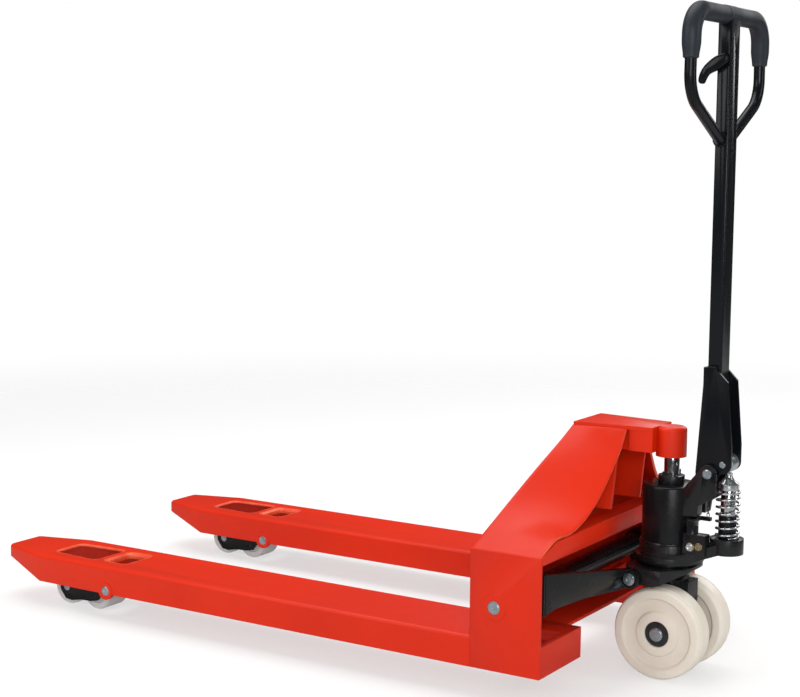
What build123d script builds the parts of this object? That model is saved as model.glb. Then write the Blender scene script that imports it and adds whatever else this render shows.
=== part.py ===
from build123d import *
import os
from math import asin, cos, degrees, hypot, radians, sin

# Hand pallet truck. Millimetres. +X points to the operator, the forks run towards -X,
# +Z is up and Y = 0 is the centre plane. The origin is on the floor, under the middle of
# the overall box. The truck stands partly raised, as its hydraulic cylinder holds it.

# ---- driving dimensions -------------------------------------------------------------
fork_length = 1150.0          # tip to the front of the heel
fork_spread = 685.0           # over the outsides of the two forks
fork_width = 160.0
fork_top = 110.0              # height of the load face at rest
fork_drop = 25.0              # how far the forks go down from rest
fork_raise = 80.0             # how far they go up from rest
fork_plate = 5.0              # pressed plate of the blades
fork_flange_bottom = 54.0
fork_edge_radius = 7.0
tip_taper = 122.0
tip_width = 90.0
tip_height = 24.0
tip_corner = 14.0
roller_window = (128.0, 250.0)   # from the tip, front and back edge of the window over the rollers
roller_window_width = (82.0, 98.0)
link_window = (262.0, 327.0)     # the smaller window over the link pins
link_window_width = (84.0, 92.0)
window_corner = 16.0
heel_depth = 138.0            # front to back of the heel and the tower foot
heel_top = 266.0
heel_plate = 6.0
running = 0.05                # radial clearance of a pin in its hole
gap = 0.6                     # side clearance between moving pieces
weld_seat = 0.02              # hairline between plates that are welded together

# rear end, measured from the front face of the heel
steer_x = 225.0
torsion_x = 48.0
torsion_z = 167.0
torsion_radius = 20.0
heel_pin_radius = 12.0
heel_boss_radius = 23.5
arm_bolt_x = 190.0
arm_bolt_z = 185.0
arm_bolt_radius = 8.0
bolt_head_radius = 11.0
arm_inner_y = 84.6            # inside face of an arm's ear
arm_ear_width = 12.0
arm_plate = 12.0

# load end, measured from the front face of the heel
link_pin_x = -846.0
link_pin_z = 60.0
link_pin_radius = 10.0
link_boss_radius = 18.0
wheel_fork_reach = 1.3625     # how far the rollers' middle lies ahead of the link pin, for each mm of raise
roller_radius = 37.0
roller_pitch = 77.0
roller_half_width = 29.0
roller_axle_radius = 8.0
bogie_plate = 6.0
wheel_fork_plate = 6.0
lug_length = 34.0             # link pin to push rod pin
rod_pin_radius = 6.0
rod_half_width = 5.0
crank_pin_radius = 9.0
rod_height = 18.0
rod_wall = 5.0

# steering wheels and carrier
steer_radius = 85.0
steer_width = 52.0
steer_gap = 52.0              # between the two wheels
axle_trail = 11.0             # wheel axle behind the steering axis
steer_axle_radius = 12.5
bearing_radius = 23.5
bearing_width = 14.0
carrier_bottom = 178.0
carrier_top = 203.0
carrier_half_width = 75.0
post_radius = 25.0
lug_bottom = 173.0
thrust_height = 6.0

# pump
base_radius = 55.0
foot_ring_radius = 63.0
foot_plate = 20.0             # thickness of the sloping plate under the plunger's seat
base_top = 243.0
cylinder_radius = 51.5
cylinder_top = 350.0
gland_radius = 24.0
gland_top = 373.0
ram_radius = 14.0
plunger_x = 335.0
seat_radius = 30.0
seat_bottom = 234.0
seat_top = 262.0
barrel_radius = 16.0
barrel_top = 303.0
plunger_radius = 13.0
spring_radius = 20.2
spring_wire = 2.1
spring_turns = 6.5
cap_radius = 19.0
cap_bottom = 350.0
cap_top = 381.0
cap_flat_radius = 8.0
plunger_stroke_per_radian = 27.0

# tower
head_top = 455.0
head_bottom = 409.0
nose_bottom = 400.0
nose_radius = 28.0
nose_x = 223.0
head_front = 53.0
head_waist = 157.0            # back edge of the side flanges at the head
head_rear = 204.0
head_half_front = 58.0
head_half_rear = 43.0
head_plate = 7.0
band_bottom = 252.0
band_top = 291.0
ram_socket_top = 424.0

# handle
pivot_x = 308.0
pivot_z = 381.0
pivot_radius = 8.0
press_x = 331.0
press_z = 398.0
press_radius = 16.6
press_half_width = 17.0
tube_front = 296.0
tube_depth = 26.0
tube_half_width = 20.5
tube_wall = 2.5
tube_bottom = 432.0
handle_height = 1187.5        # centre line of the top grip
loop_x = 306.0
grip_half_span = 160.0
loop_radius = 10.2
grip_radius = 16.5
grip_bottom = 1106.0
loop_corner = 43.0
knee_z = 1046.0
knee_y = 163.0
knee_radius = 60.0
loop_foot_z = 976.0
cheek_plate = 5.0
lug_plate = 8.0
lever_x = 311.0
lever_z = 1112.0
lever_pin_radius = 3.0
lever_hub_radius = 5.0
lever_plate = 10.0            # thickness of the hooked finger plate
lever_arm = 8.5               # pivot to the pull rod, on the finger's side
pull_rod_radius = 1.25

# ---- places worked out from the sizes above ------------------------------------------
overall_length = fork_length + plunger_x + seat_radius
heel_x = fork_length - overall_length / 2
half_spread = fork_spread / 2
fork_y = half_spread - fork_width / 2
fork_inner = half_spread - fork_width
steer_inner = steer_gap / 2
steer_outer = steer_inner + steer_width
axle_x = steer_x + axle_trail
SIDES = {"left": -1, "right": 1}

# the lift arms turn about their bolts in the carrier; the forks hang on the torsion tube
arm_length = hypot(arm_bolt_x - torsion_x, arm_bolt_z - torsion_z)
arm_rest = asin((arm_bolt_z - torsion_z) / arm_length)
lift_up = asin((fork_raise - arm_bolt_z + torsion_z) / arm_length) + arm_rest
lift_down = asin((-fork_drop - arm_bolt_z + torsion_z) / arm_length) + arm_rest
# the wheel forks turn about the link pins so that the bogies stay on the floor
bogie_x = link_pin_x - wheel_fork_reach * fork_raise
wheel_arm = hypot(link_pin_x - bogie_x, link_pin_z - roller_radius)
wheel_rest = asin((link_pin_z - roller_radius) / wheel_arm)
wheel_up = asin((link_pin_z - roller_radius + fork_raise) / wheel_arm) - wheel_rest
wheel_ratio = wheel_up / lift_up
# a crank on the torsion tube pushes each rod; crank and lug swing evenly about the vertical
lift_middle = (lift_up + lift_down) / 2
lift_half = (lift_up - lift_down) / 2
crank_length = lug_length * sin(wheel_ratio * lift_half) / sin(lift_half)
crank_x = torsion_x + crank_length * sin(lift_middle)
crank_z = torsion_z - crank_length * cos(lift_middle)
rod_pin_x = link_pin_x + lug_length * sin(wheel_ratio * lift_middle)
rod_pin_z = link_pin_z + lug_length * cos(wheel_ratio * lift_middle)
# how far the crank's pin rises in the rod's slot at either end of the lift, and falls between
pin_rise = crank_length * (cos(lift_middle) - cos(lift_half))
pin_rise += lug_length * (cos(wheel_ratio * lift_middle) - cos(wheel_ratio * lift_half))
pin_fall = crank_length * (1 - cos(lift_middle)) + lug_length * (1 - cos(wheel_ratio * lift_middle))
# the frame moves along X by this much as the arms swing
frame_shift_max = arm_length * (cos(arm_rest) - cos(lift_up - arm_rest))
frame_shift_min = arm_length * (1 - cos(arm_rest))


# ---- small helpers ------------------------------------------------------------------
def block(x, y, z):
    """Box from low and high values; x is measured from the heel's front face."""
    size = (x[1] - x[0], y[1] - y[0], z[1] - z[0])
    centre = (heel_x + (x[0] + x[1]) / 2, (y[0] + y[1]) / 2, (z[0] + z[1]) / 2)
    return Pos(*centre) * Box(*size)


def round_z(x, y, radius, z0, z1):
    return Pos(heel_x + x, y, (z0 + z1) / 2) * Cylinder(radius, z1 - z0)


def round_y(x, z, radius, y0, y1):
    low, high = min(y0, y1), max(y0, y1)
    return Pos(heel_x + x, (low + high) / 2, z) * Rot(90, 0, 0) * Cylinder(radius, high - low)


def plate_y(points, y0, y1):
    """Flat plate from an outline in the XZ plane, between two Y values."""
    low, high = min(y0, y1), max(y0, y1)
    plane = Plane(origin=(heel_x, low, 0), x_dir=(1, 0, 0), z_dir=(0, -1, 0))
    face = plane * make_face(Polyline(*points, close=True))
    return extrude(face, amount=high - low, dir=(0, 1, 0))


def plate_z(points, z0, z1):
    """Flat plate from an outline in the XY plane, between two heights."""
    face = Pos(heel_x, 0, z0) * make_face(Polyline(*points, close=True))
    return extrude(face, amount=z1 - z0)


def both(side, near, far):
    """Low and high Y on one side of the truck, from distances off the centre plane."""
    return tuple(sorted((side * near, side * far)))


def mirrored_outline(points):
    """Closes an outline given on the +Y side with its mirror image."""
    return points + [(x, -y) for x, y in reversed(points)]


def tapered(front, back, front_width, back_width, centre):
    """Outline of a trapezoid along X, symmetric about Y = centre."""
    return [
        (front, centre - front_width / 2),
        (back, centre - back_width / 2),
        (back, centre + back_width / 2),
        (front, centre + front_width / 2),
    ]


def vertical_edges(solid):
    return solid.edges().filter_by(Axis.Z)


# ---- forks --------------------------------------------------------------------------
def fork_outline(inset, side):
    """Plan of a blade, straight to the taper and then narrowing to the tip."""
    tip = -fork_length + inset
    shoulder = -fork_length + tip_taper
    half_tip = tip_width / 2 - inset
    half = fork_width / 2 - inset
    centre = side * fork_y
    return [
        (tip, centre - half_tip),
        (shoulder, centre - half),
        (0, centre - half),
        (0, centre + half),
        (shoulder, centre + half),
        (tip, centre + half_tip),
    ]


def tip_wedge(lift):
    """Everything below the rising underside of the tip, moved up by lift."""
    tip = -fork_length
    wide = half_spread + 10
    points = [
        (tip - 5, fork_top - tip_height + lift),
        (tip, fork_top - tip_height + lift),
        (tip + tip_taper, fork_flange_bottom + lift),
        (tip + tip_taper, -50),
        (tip - 5, -50),
    ]
    return plate_y(points, -wide, wide)


def window(edges, widths, side):
    start = -fork_length + edges[0]
    end = -fork_length + edges[1]
    outline = tapered(start, end, widths[0], widths[1], side * fork_y)
    hole = plate_z(outline, fork_top - fork_plate - 1, fork_top + 1)
    return fillet(vertical_edges(hole), window_corner)


def make_fork(side):
    blade = plate_z(fork_outline(0, side), fork_flange_bottom, fork_top)
    tip_edges = vertical_edges(blade).sort_by(Axis.X)[:2]
    blade = fillet(tip_edges, tip_corner)
    top_edges = blade.faces().sort_by(Axis.Z)[-1].edges()
    top_edges = [e for e in top_edges if abs(e.center().X - heel_x) > 1]
    blade = fillet(top_edges, fork_edge_radius)
    blade -= tip_wedge(0)
    hollow = plate_z(fork_outline(fork_plate, side), 0, fork_top - fork_plate)
    nose_plate = tip_wedge(fork_plate) & block(
        (-fork_length - 5, -fork_length + tip_taper * 0.45), (-half_spread, half_spread), (0, fork_top)
    )
    blade -= hollow - nose_plate
    blade -= window(roller_window, roller_window_width, side)
    blade -= window(link_window, link_window_width, side)
    for wall in (-1, 1):
        outer = side * fork_y + wall * (fork_width / 2 + 1.5)
        inner = side * fork_y + wall * (fork_width / 2 - fork_plate - 3)
        blade += round_y(link_pin_x, link_pin_z, link_boss_radius, inner, outer)
    across = fork_width / 2 + 10
    hole_y = (side * fork_y - across, side * fork_y + across)
    blade -= round_y(link_pin_x, link_pin_z, link_pin_radius, *hole_y)
    return blade


def make_fork_axle_pins():
    reach = fork_width / 2 + 1
    pins = [
        round_y(link_pin_x, link_pin_z, link_pin_radius - weld_seat, s * fork_y - reach, s * fork_y + reach)
        for s in SIDES.values()
    ]
    return Compound(children=[p.solid() for p in pins])


# ---- heels, tower and head ----------------------------------------------------------
def make_heel(side):
    """Outer side plate, inner wall, floor with the rod slot, and the rear foot flange."""
    outer = both(side, half_spread - heel_plate, half_spread)
    inner = both(side, fork_inner, fork_inner + heel_plate)
    full = both(side, fork_inner, half_spread)
    start = weld_seat
    heel = block((start, heel_depth), outer, (fork_flange_bottom, heel_top))
    heel += block((start, heel_depth), inner, (fork_flange_bottom, fork_top))
    heel += block((start, heel_depth), full, (fork_top - fork_plate, fork_top))
    heel += block((heel_depth - heel_plate, heel_depth), full, (fork_flange_bottom, fork_top))
    slot_y = (side * fork_y - 30, side * fork_y + 30)
    heel -= block((8, heel_depth - 13), slot_y, (fork_top - fork_plate - 1, fork_top + 1))
    boss_y = both(side, half_spread - heel_plate - 6, half_spread + 1.5)
    heel += round_y(torsion_x, torsion_z, heel_boss_radius, *boss_y)
    bore_y = both(side, half_spread - 40, half_spread + 5)
    heel -= round_y(torsion_x, torsion_z, heel_pin_radius + running, *bore_y)
    return heel


front_lean = head_front / (head_top - heel_top)
rear_lean = 0.117


def flange_edge(points):
    """Edge of a side flange from the heel's outside up to the head, in proportion to the spread."""
    head_y = points[-1][0]
    share = (half_spread - head_y) / (points[0][0] - head_y)
    return [(head_y + (y - head_y) * share, z) for y, z in points]


flange_front = flange_edge([(342.5, 266), (300, 293), (235, 336), (165, 381), (95, 424), (58, 447)])
flange_rear = flange_edge([(342.5, 266), (288, 290.5), (213, 292), (137, 328), (67, 409), (52, 447)])


def flange_section(points, lean, base_x, base_z, thickness):
    """Closed strip of the pressed flange in the leaning plane x = base_x + lean * (z - base_z)."""
    under = [(y - thickness * 0.5, z - thickness) for y, z in reversed(points)]
    under[0] = (points[-1][0] - thickness * 1.2, points[-1][1])
    under[-1] = (points[0][0] - thickness * 1.2, points[0][1])
    strip = points + under
    corners = [(heel_x + base_x + lean * (z - base_z), y, z) for y, z in strip]
    return make_face(Polyline(*corners, close=True))


def make_side_flange(side):
    """Pressed plate that closes the tower's side, from the heel up to the head."""
    front = flange_section(flange_front, front_lean, 0, heel_top, heel_plate)
    rear = flange_section(flange_rear, rear_lean, heel_depth - 3, heel_top, heel_plate)
    flange = loft([front, rear], ruled=True)
    flange = Pos(0, 0, weld_seat) * flange
    return flange if side > 0 else mirror(flange, about=Plane.XZ)


def make_front_plate():
    """Upright plate across the front of the tower, leaning back above the heels."""
    inside = half_spread - heel_plate - weld_seat
    sill = fork_top + weld_seat
    lower = block((weld_seat, heel_plate), (-inside, inside), (sill, heel_top))
    slope = hypot(1, front_lean)
    foot = (half_spread - 10, 0)
    lean_outline = [foot] + [(y - 6, (z - 9 - heel_top) * slope) for y, z in flange_front[1:]]
    loop = lean_outline + [(-x, z) for x, z in reversed(lean_outline)]
    plane = Plane(
        origin=(heel_x + weld_seat, 0, heel_top), x_dir=(0, 1, 0), z_dir=(1, 0, -front_lean)
    )
    upper = extrude(plane * make_face(Polyline(*loop, close=True)), amount=heel_plate)
    return lower + upper


def make_rear_band():
    """Angle across the back of the tower: an upright leg and a shelf behind it."""
    inside = half_spread - heel_plate - weld_seat
    corner = heel_top - 1
    outline = [
        (inside, band_bottom),
        (inside, corner),
        (half_spread - 56, band_top - 7),
        (-half_spread + 56, band_top - 7),
        (-inside, corner),
        (-inside, band_bottom),
    ]
    plane = Plane(origin=(heel_x + heel_depth - heel_plate, 0, 0), x_dir=(0, 1, 0), z_dir=(1, 0, 0))
    upright = extrude(plane * make_face(Polyline(*outline, close=True)), amount=heel_plate)
    shelf = block((heel_depth - 40, heel_depth), (-200, 200), (band_top - 12, band_top - 6))
    return upright + shelf


def make_cross_plate():
    """Low plate that joins the two heels under the lift arms."""
    reach = fork_inner - weld_seat
    depth = 105.0
    flat = block((weld_seat, depth), (-reach, reach), (fork_top - 10, fork_top - 4))
    lip = block((weld_seat, heel_plate), (-reach, reach), (fork_top - 40, fork_top - 4))
    return flat + lip


def make_tower_ribs():
    """Two upright ribs inside the open back of the tower."""
    ribs = []
    for side in SIDES.values():
        y = both(side, 60, 66)
        points = [(34, 300), (heel_depth - 2, 300), (heel_depth + 8, 400), (58, 400)]
        ribs.append(plate_y(points, *y).solid())
    return Compound(children=ribs)


def make_lift_head():
    """Head plate and nose that the ram lifts, with an oblong socket for the ram's end."""
    cap = mirrored_outline([
        (head_front, head_half_front),
        (head_waist, head_half_rear + 3),
        (head_rear, head_half_rear),
    ])
    head = plate_z(cap, head_top - head_plate, head_top)
    inner = head_half_rear - head_plate
    head += block((head_front + 8, head_waist + 10), (-inner, inner), (head_bottom, head_top - 1))
    head += block((head_waist + 1, head_rear), (-head_half_rear, head_half_rear), (head_bottom, head_top - 1))
    hollow = inner - head_plate
    room_z = (head_bottom - 5, head_top - head_plate)
    head -= block((head_front - 5, head_rear - 18), (-hollow, hollow), room_z)
    nose = round_z(nose_x, 0, nose_radius, nose_bottom, head_top)
    nose = fillet(nose.edges().sort_by(Axis.Z)[-1:], 7)
    head += nose
    reach = ram_radius + 0.5
    back = -frame_shift_max - 0.8
    front = frame_shift_min + 0.8
    socket = round_z(steer_x + back, 0, reach, nose_bottom - 1, ram_socket_top)
    socket += round_z(steer_x + front, 0, reach, nose_bottom - 1, ram_socket_top)
    socket += block(
        (steer_x + back, steer_x + front), (-reach, reach), (nose_bottom - 1, ram_socket_top)
    )
    return head - socket


# ---- lift arms ----------------------------------------------------------------------
def make_torsion_tube():
    """Tube across the heels, with a forked crank under it in each fork."""
    reach = half_spread - heel_plate - 6 - gap
    tube = round_y(torsion_x, torsion_z, torsion_radius, -reach, reach)
    for side in SIDES.values():
        centre = side * fork_y
        hub = round_y(torsion_x, torsion_z, torsion_radius + 6, centre - 18, centre + 18)
        cheeks = None
        for low in (-18, rod_half_width + 2):
            y0 = centre + low
            y1 = y0 + 18 - rod_half_width - 2
            cheek = round_y(torsion_x, torsion_z, torsion_radius + 6, y0, y1)
            cheek += round_y(crank_x, crank_z, crank_pin_radius + 5, y0, y1)
            cheek += plate_y(crank_web(), y0, y1)
            cheeks = cheek if cheeks is None else cheeks + cheek
        tube += hub + cheeks
        tube -= round_y(crank_x, crank_z, crank_pin_radius, centre - 20, centre + 20)
    tube -= round_y(torsion_x, torsion_z, heel_pin_radius, -reach - 1, reach + 1)
    return tube


def crank_web():
    """Quadrilateral between the crank's hub and its pin boss."""
    along = ((crank_x - torsion_x) / crank_length, (crank_z - torsion_z) / crank_length)
    across = (-along[1], along[0])
    wide = torsion_radius + 3
    narrow = crank_pin_radius + 4
    return [
        (torsion_x + across[0] * wide, torsion_z + across[1] * wide),
        (crank_x + across[0] * narrow, crank_z + across[1] * narrow),
        (crank_x - across[0] * narrow, crank_z - across[1] * narrow),
        (torsion_x - across[0] * wide, torsion_z - across[1] * wide),
    ]


def make_crank_pins():
    pins = [
        round_y(crank_x, crank_z, crank_pin_radius - weld_seat, s * fork_y - 18, s * fork_y + 18)
        for s in SIDES.values()
    ]
    return Compound(children=[p.solid() for p in pins])


def make_heel_pins():
    pins = []
    for side in SIDES.values():
        y = both(side, half_spread - 60, half_spread + 1)
        pins.append(round_y(torsion_x, torsion_z, heel_pin_radius - weld_seat, *y).solid())
    return Compound(children=pins)


def make_arm(side):
    """Flat cheek on the torsion tube, a tapering diagonal plate, and the ear at the bolt."""
    outer = half_spread - heel_plate - 6 - gap
    cheek_y = both(side, outer - arm_plate, outer)
    elbow_x = 138.0
    profile = [
        (torsion_x - 24, torsion_z - 4),
        (torsion_x + 10, torsion_z - 26),
        (elbow_x - 30, 162),
        (elbow_x, 163),
        (elbow_x, 234),
        (torsion_x + 8, torsion_z + 30),
        (torsion_x - 20, torsion_z + 18),
    ]
    cheek = plate_y(profile, *cheek_y)
    start = (elbow_x - 5, side * (outer - arm_plate / 2))
    finish = (arm_bolt_x - 4, side * (arm_inner_y + arm_ear_width / 2))
    length = hypot(finish[0] - start[0], finish[1] - start[1])
    along = ((finish[0] - start[0]) / length, (finish[1] - start[1]) / length)
    plane = Plane(
        origin=(heel_x + start[0], start[1], 0), x_dir=(*along, 0), z_dir=(along[1], -along[0], 0)
    )
    outline = [(0, 163), (0, 234), (length, 203), (length, 170), (length * 0.45, 174), (24, 170)]
    diagonal = extrude(plane * make_face(Polyline(*outline, close=True)), amount=arm_plate / 2, both=True)
    ear_y = both(side, arm_inner_y, arm_inner_y + arm_ear_width)
    ear = round_y(arm_bolt_x, arm_bolt_z, 18, *ear_y)
    arm = cheek + diagonal
    keep_out = block((arm_bolt_x - 60, arm_bolt_x + 60), (-arm_inner_y, arm_inner_y), (100, 300))
    arm = (arm + ear) - keep_out
    past_bolt = block((arm_bolt_x, arm_bolt_x + 60), (-200, 200), (arm_bolt_z + 18, 300))
    arm -= past_bolt
    arm -= round_y(torsion_x, torsion_z, torsion_radius + weld_seat, *both(side, outer - 40, outer + 1))
    arm -= round_y(arm_bolt_x, arm_bolt_z, arm_bolt_radius + running, *both(side, 60, 130))
    spot_face = both(side, arm_inner_y + arm_ear_width, arm_inner_y + arm_ear_width + 60)
    return arm - round_y(arm_bolt_x, arm_bolt_z, bolt_head_radius + 1.5, *spot_face)


# ---- steering carrier ---------------------------------------------------------------
def make_carrier():
    """Flat casting over the steering wheels, with a lug on each side for the arm bolts."""
    outline = mirrored_outline([
        (steer_x - 58, carrier_half_width - 12),
        (arm_bolt_x - 16, carrier_half_width),
        (steer_x + 18, arm_inner_y - gap),
        (steer_x + 50, 40),
        (steer_x + 55, 20),
    ])
    casting = plate_z(outline, carrier_bottom, carrier_top)
    chamfered = [
        (steer_x + 18, carrier_bottom),
        (steer_x + 56, carrier_top - 6),
        (steer_x + 80, carrier_top - 6),
        (steer_x + 80, carrier_bottom - 20),
        (steer_x + 18, carrier_bottom - 20),
    ]
    casting -= plate_y(chamfered, -100, 100)
    casting -= round_z(steer_x, 0, post_radius + running, carrier_bottom - 1, carrier_top + 1)
    room_x = arm_bolt_x - 17
    arm_room = [(room_x, carrier_bottom - 1), (room_x, 300), (0, 300), (0, carrier_bottom - 1)]
    casting -= plate_y(arm_room, -150, -carrier_half_width)
    casting -= plate_y(arm_room, carrier_half_width, 150)
    lug = [
        (arm_bolt_x - 15, arm_bolt_z - 8),
        (arm_bolt_x - 6, lug_bottom),
        (steer_x + 6, lug_bottom),
        (steer_x + 18, carrier_bottom + 1),
        (steer_x + 18, carrier_top),
        (arm_bolt_x - 10, carrier_top),
    ]
    bores = []
    for side in SIDES.values():
        casting += plate_y(lug, *both(side, carrier_half_width - 2, arm_inner_y - gap))
        bore_y = both(side, carrier_half_width - 30, arm_inner_y + 2)
        bores.append(round_y(arm_bolt_x, arm_bolt_z, arm_bolt_radius, *bore_y))
    return casting - bores


def make_thrust_bearing():
    ring = round_z(steer_x, 0, 52, carrier_top + weld_seat, carrier_top + thrust_height)
    return ring - round_z(steer_x, 0, post_radius + 0.5, carrier_top - 1, carrier_top + 10)


def make_arm_bolts():
    bolts = []
    for side in SIDES.values():
        shank = round_y(
            arm_bolt_x, arm_bolt_z, arm_bolt_radius - weld_seat,
            *both(side, carrier_half_width - 29, arm_inner_y + arm_ear_width + 1),
        )
        head_y = both(side, arm_inner_y + arm_ear_width + gap, arm_inner_y + arm_ear_width + 5)
        bolts.append((shank + round_y(arm_bolt_x, arm_bolt_z, bolt_head_radius, *head_y)).solid())
    return Compound(children=bolts)


# ---- steering axle and wheels -------------------------------------------------------
yoke_half = steer_inner - 3.0


def make_steer_yoke():
    """Post through the carrier and the block that holds the wheel axle."""
    post = round_z(steer_x, 0, post_radius, carrier_bottom - 6, carrier_top + thrust_height + 6)
    yoke = block((steer_x - 30, steer_x + 48), (-yoke_half, yoke_half), (100, carrier_bottom - 4))
    hub = round_y(axle_x, steer_radius, 27, -yoke_half, yoke_half)
    foot = plate_y(
        [(axle_x - 27, 85), (axle_x + 27, 85), (steer_x + 48, 102), (steer_x - 30, 102)],
        -yoke_half, yoke_half,
    )
    collar = round_z(steer_x, 0, 38, carrier_bottom - 7, carrier_bottom - 1)
    collar = collar & block((0, 500), (-yoke_half, yoke_half), (0, 400))
    yoke = post + yoke + hub + foot + collar
    return yoke - round_y(axle_x, steer_radius, steer_axle_radius, -60, 60)


def make_steer_axle():
    return round_y(axle_x, steer_radius, steer_axle_radius - weld_seat, -steer_outer - 1, steer_outer + 1)


def bearing_spans(side):
    """Outboard and inboard bearing of one steering wheel."""
    outboard = both(side, steer_outer - 5 - bearing_width, steer_outer - 5)
    inboard = both(side, steer_inner + 4, steer_inner + 4 + bearing_width)
    return [outboard, inboard]


def make_steer_bearings():
    rings = []
    for side in SIDES.values():
        for y in bearing_spans(side):
            ring = round_y(axle_x, steer_radius, bearing_radius - running, *y)
            ring -= round_y(axle_x, steer_radius, steer_axle_radius, y[0] - 1, y[1] + 1)
            rings.append(ring.solid())
    return Compound(children=rings)


def make_steer_wheel(side):
    """Solid nylon wheel: crowned tread, rim, dished face and raised hub."""
    half = steer_width / 2
    section = [
        (steer_axle_radius + 4, -half + 6),
        (42, -half + 2),
        (44, -half + 6),
        (70, -half + 6),
        (73, -half),
        (79, -half),
        (steer_radius - 1.5, -half + 5),
        (steer_radius - 1.5, -half + 10),
        (steer_radius, -half + 12),
    ]
    section = section + [(r, -y) for r, y in reversed(section)]
    face = make_face(Polyline(*section, close=True))
    wheel = revolve(face, axis=Axis.Y)
    centre = side * (steer_inner + steer_width / 2)
    wheel = Pos(heel_x + axle_x, centre, steer_radius) * wheel
    wheel -= round_y(axle_x, steer_radius, 18, -100, 100)
    for y in bearing_spans(side):
        past = 20 if abs(y[0] + y[1]) / 2 > steer_inner + half else -20
        deep = both(side, abs(y[0] + y[1]) / 2 - bearing_width / 2, abs(y[0] + y[1]) / 2 + bearing_width / 2)
        outward = both(side, abs(y[0] + y[1]) / 2, abs(y[0] + y[1]) / 2 + past)
        seat_low = min(deep[0], outward[0])
        seat_high = max(deep[1], outward[1])
        wheel -= round_y(axle_x, steer_radius, bearing_radius, seat_low, seat_high)
    return wheel


# ---- pump ---------------------------------------------------------------------------
base_bottom = carrier_top + thrust_height + 0.3


def slope_plate(rise, depth):
    """Side view of the plate that climbs from the foot ring to the plunger's seat."""
    return [
        (steer_x + 38, base_bottom + rise),
        (plunger_x - 4, seat_bottom + rise),
        (plunger_x + 60, seat_bottom + rise),
        (plunger_x + 60, seat_bottom + rise + depth),
        (steer_x + 38, seat_bottom + rise + depth),
    ]


def make_pump_base():
    """Foot of the pump on its thrust bearing, reaching back to the plunger's seat."""
    base = round_z(steer_x, 0, foot_ring_radius, base_bottom, base_bottom + 12)
    base += round_z(steer_x, 0, base_radius, base_bottom, base_top)
    wing_edge = [
        (steer_x + 6, 59),
        (steer_x + 44, 52),
        (plunger_x - 8, seat_radius - 1.5),
        (plunger_x, seat_radius - 2),
    ]
    wing = plate_z(mirrored_outline(wing_edge), base_bottom + 0.5, seat_top - 2)
    wing = wing & plate_y(slope_plate(0, 200) + [(0, seat_bottom + 200), (0, base_bottom)], -90, 90)
    wing -= plate_y(slope_plate(foot_plate, 200) + [(0, 500), (0, base_bottom + foot_plate)], -90, 90)
    web = mirrored_outline([(steer_x, 26), (plunger_x - 12, 24), (plunger_x, 24)])
    web = plate_z(web, base_bottom + 3, seat_top - 6)
    web = web & plate_y(slope_plate(0, 200) + [(0, seat_bottom + 200), (0, base_bottom)], -90, 90)
    seat = round_z(plunger_x, 0, seat_radius, seat_bottom, seat_top)
    base = base + wing + web + seat
    base -= round_z(plunger_x, 0, plunger_radius + running, seat_bottom + 3, seat_top + 1)
    base -= round_z(steer_x, 0, cylinder_radius + weld_seat, base_top, base_top + 40)
    return base - round_z(steer_x, 0, post_radius, base_bottom - 1, base_bottom + 6)


def make_pump_cylinder():
    shell = round_z(steer_x, 0, cylinder_radius, base_top + weld_seat, cylinder_top)
    shell = fillet(shell.edges().sort_by(Axis.Z)[-1:], 3)
    return shell - round_z(steer_x, 0, ram_radius + 6, base_top - 1, cylinder_top + 1)


def make_ram_gland():
    """Gland nut on the cylinder's mouth, with two upright tabs beside the ram."""
    gland = round_z(steer_x, 0, gland_radius, cylinder_top + weld_seat, gland_top - 8)
    for side in SIDES.values():
        tab_y = both(side, 17, 22)
        gland += block((steer_x - 9, steer_x + 9), tab_y, (cylinder_top + 1, gland_top))
    gland += round_z(steer_x, 0, ram_radius + 6 - weld_seat, cylinder_top - 24, cylinder_top + 1)
    return gland - round_z(steer_x, 0, ram_radius + running, 300, 400)


def make_lift_ram():
    return round_z(steer_x, 0, ram_radius, base_top + fork_drop + 2, ram_socket_top - 0.5)


lug_inner = tube_half_width + cheek_plate + gap + 1.0
lug_outer = lug_inner + lug_plate
saddle_back = 289.0


def make_handle_lugs():
    """Bracket cast on the cylinder's back: a saddle and two ears for the handle's pivot."""
    saddle = block((steer_x + 30, saddle_back), (-lug_outer, lug_outer), (300, 338))
    saddle -= round_z(steer_x, 0, cylinder_radius + weld_seat, 200, 400)
    clear = block((steer_x + cylinder_radius + 4, 400), (-8, 8), (200, 400))
    bracket = saddle - clear
    for side in SIDES.values():
        y = both(side, lug_inner, lug_outer)
        points = [
            (262, 300),
            (262, 349),
            (pivot_x - 11, pivot_z + 11),
            (pivot_x + 16, pivot_z),
            (pivot_x + 16, 341),
            (saddle_back + 3, 320),
            (saddle_back, 300),
        ]
        ear = plate_y(points, *y) + round_y(pivot_x, pivot_z, 16, *y)
        bracket += ear - round_z(steer_x, 0, cylinder_radius + weld_seat, 200, 400)
        bracket -= round_y(pivot_x, pivot_z, pivot_radius, y[0] - 1, y[1] + 1)
    return bracket


def make_pivot_bolt():
    shank = round_y(pivot_x, pivot_z, pivot_radius - weld_seat, -lug_outer - 1, lug_outer + 1)
    for side in SIDES.values():
        shank += round_y(pivot_x, pivot_z, 8.6, *both(side, lug_outer + 0.3, lug_outer + 4))
    return shank


def make_plunger_barrel():
    barrel = round_z(plunger_x, 0, barrel_radius, seat_top + weld_seat, barrel_top)
    return barrel - round_z(plunger_x, 0, plunger_radius + running, seat_top - 1, barrel_top + 1)


def make_pump_plunger():
    return round_z(plunger_x, 0, plunger_radius, 284, cap_bottom)


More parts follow.
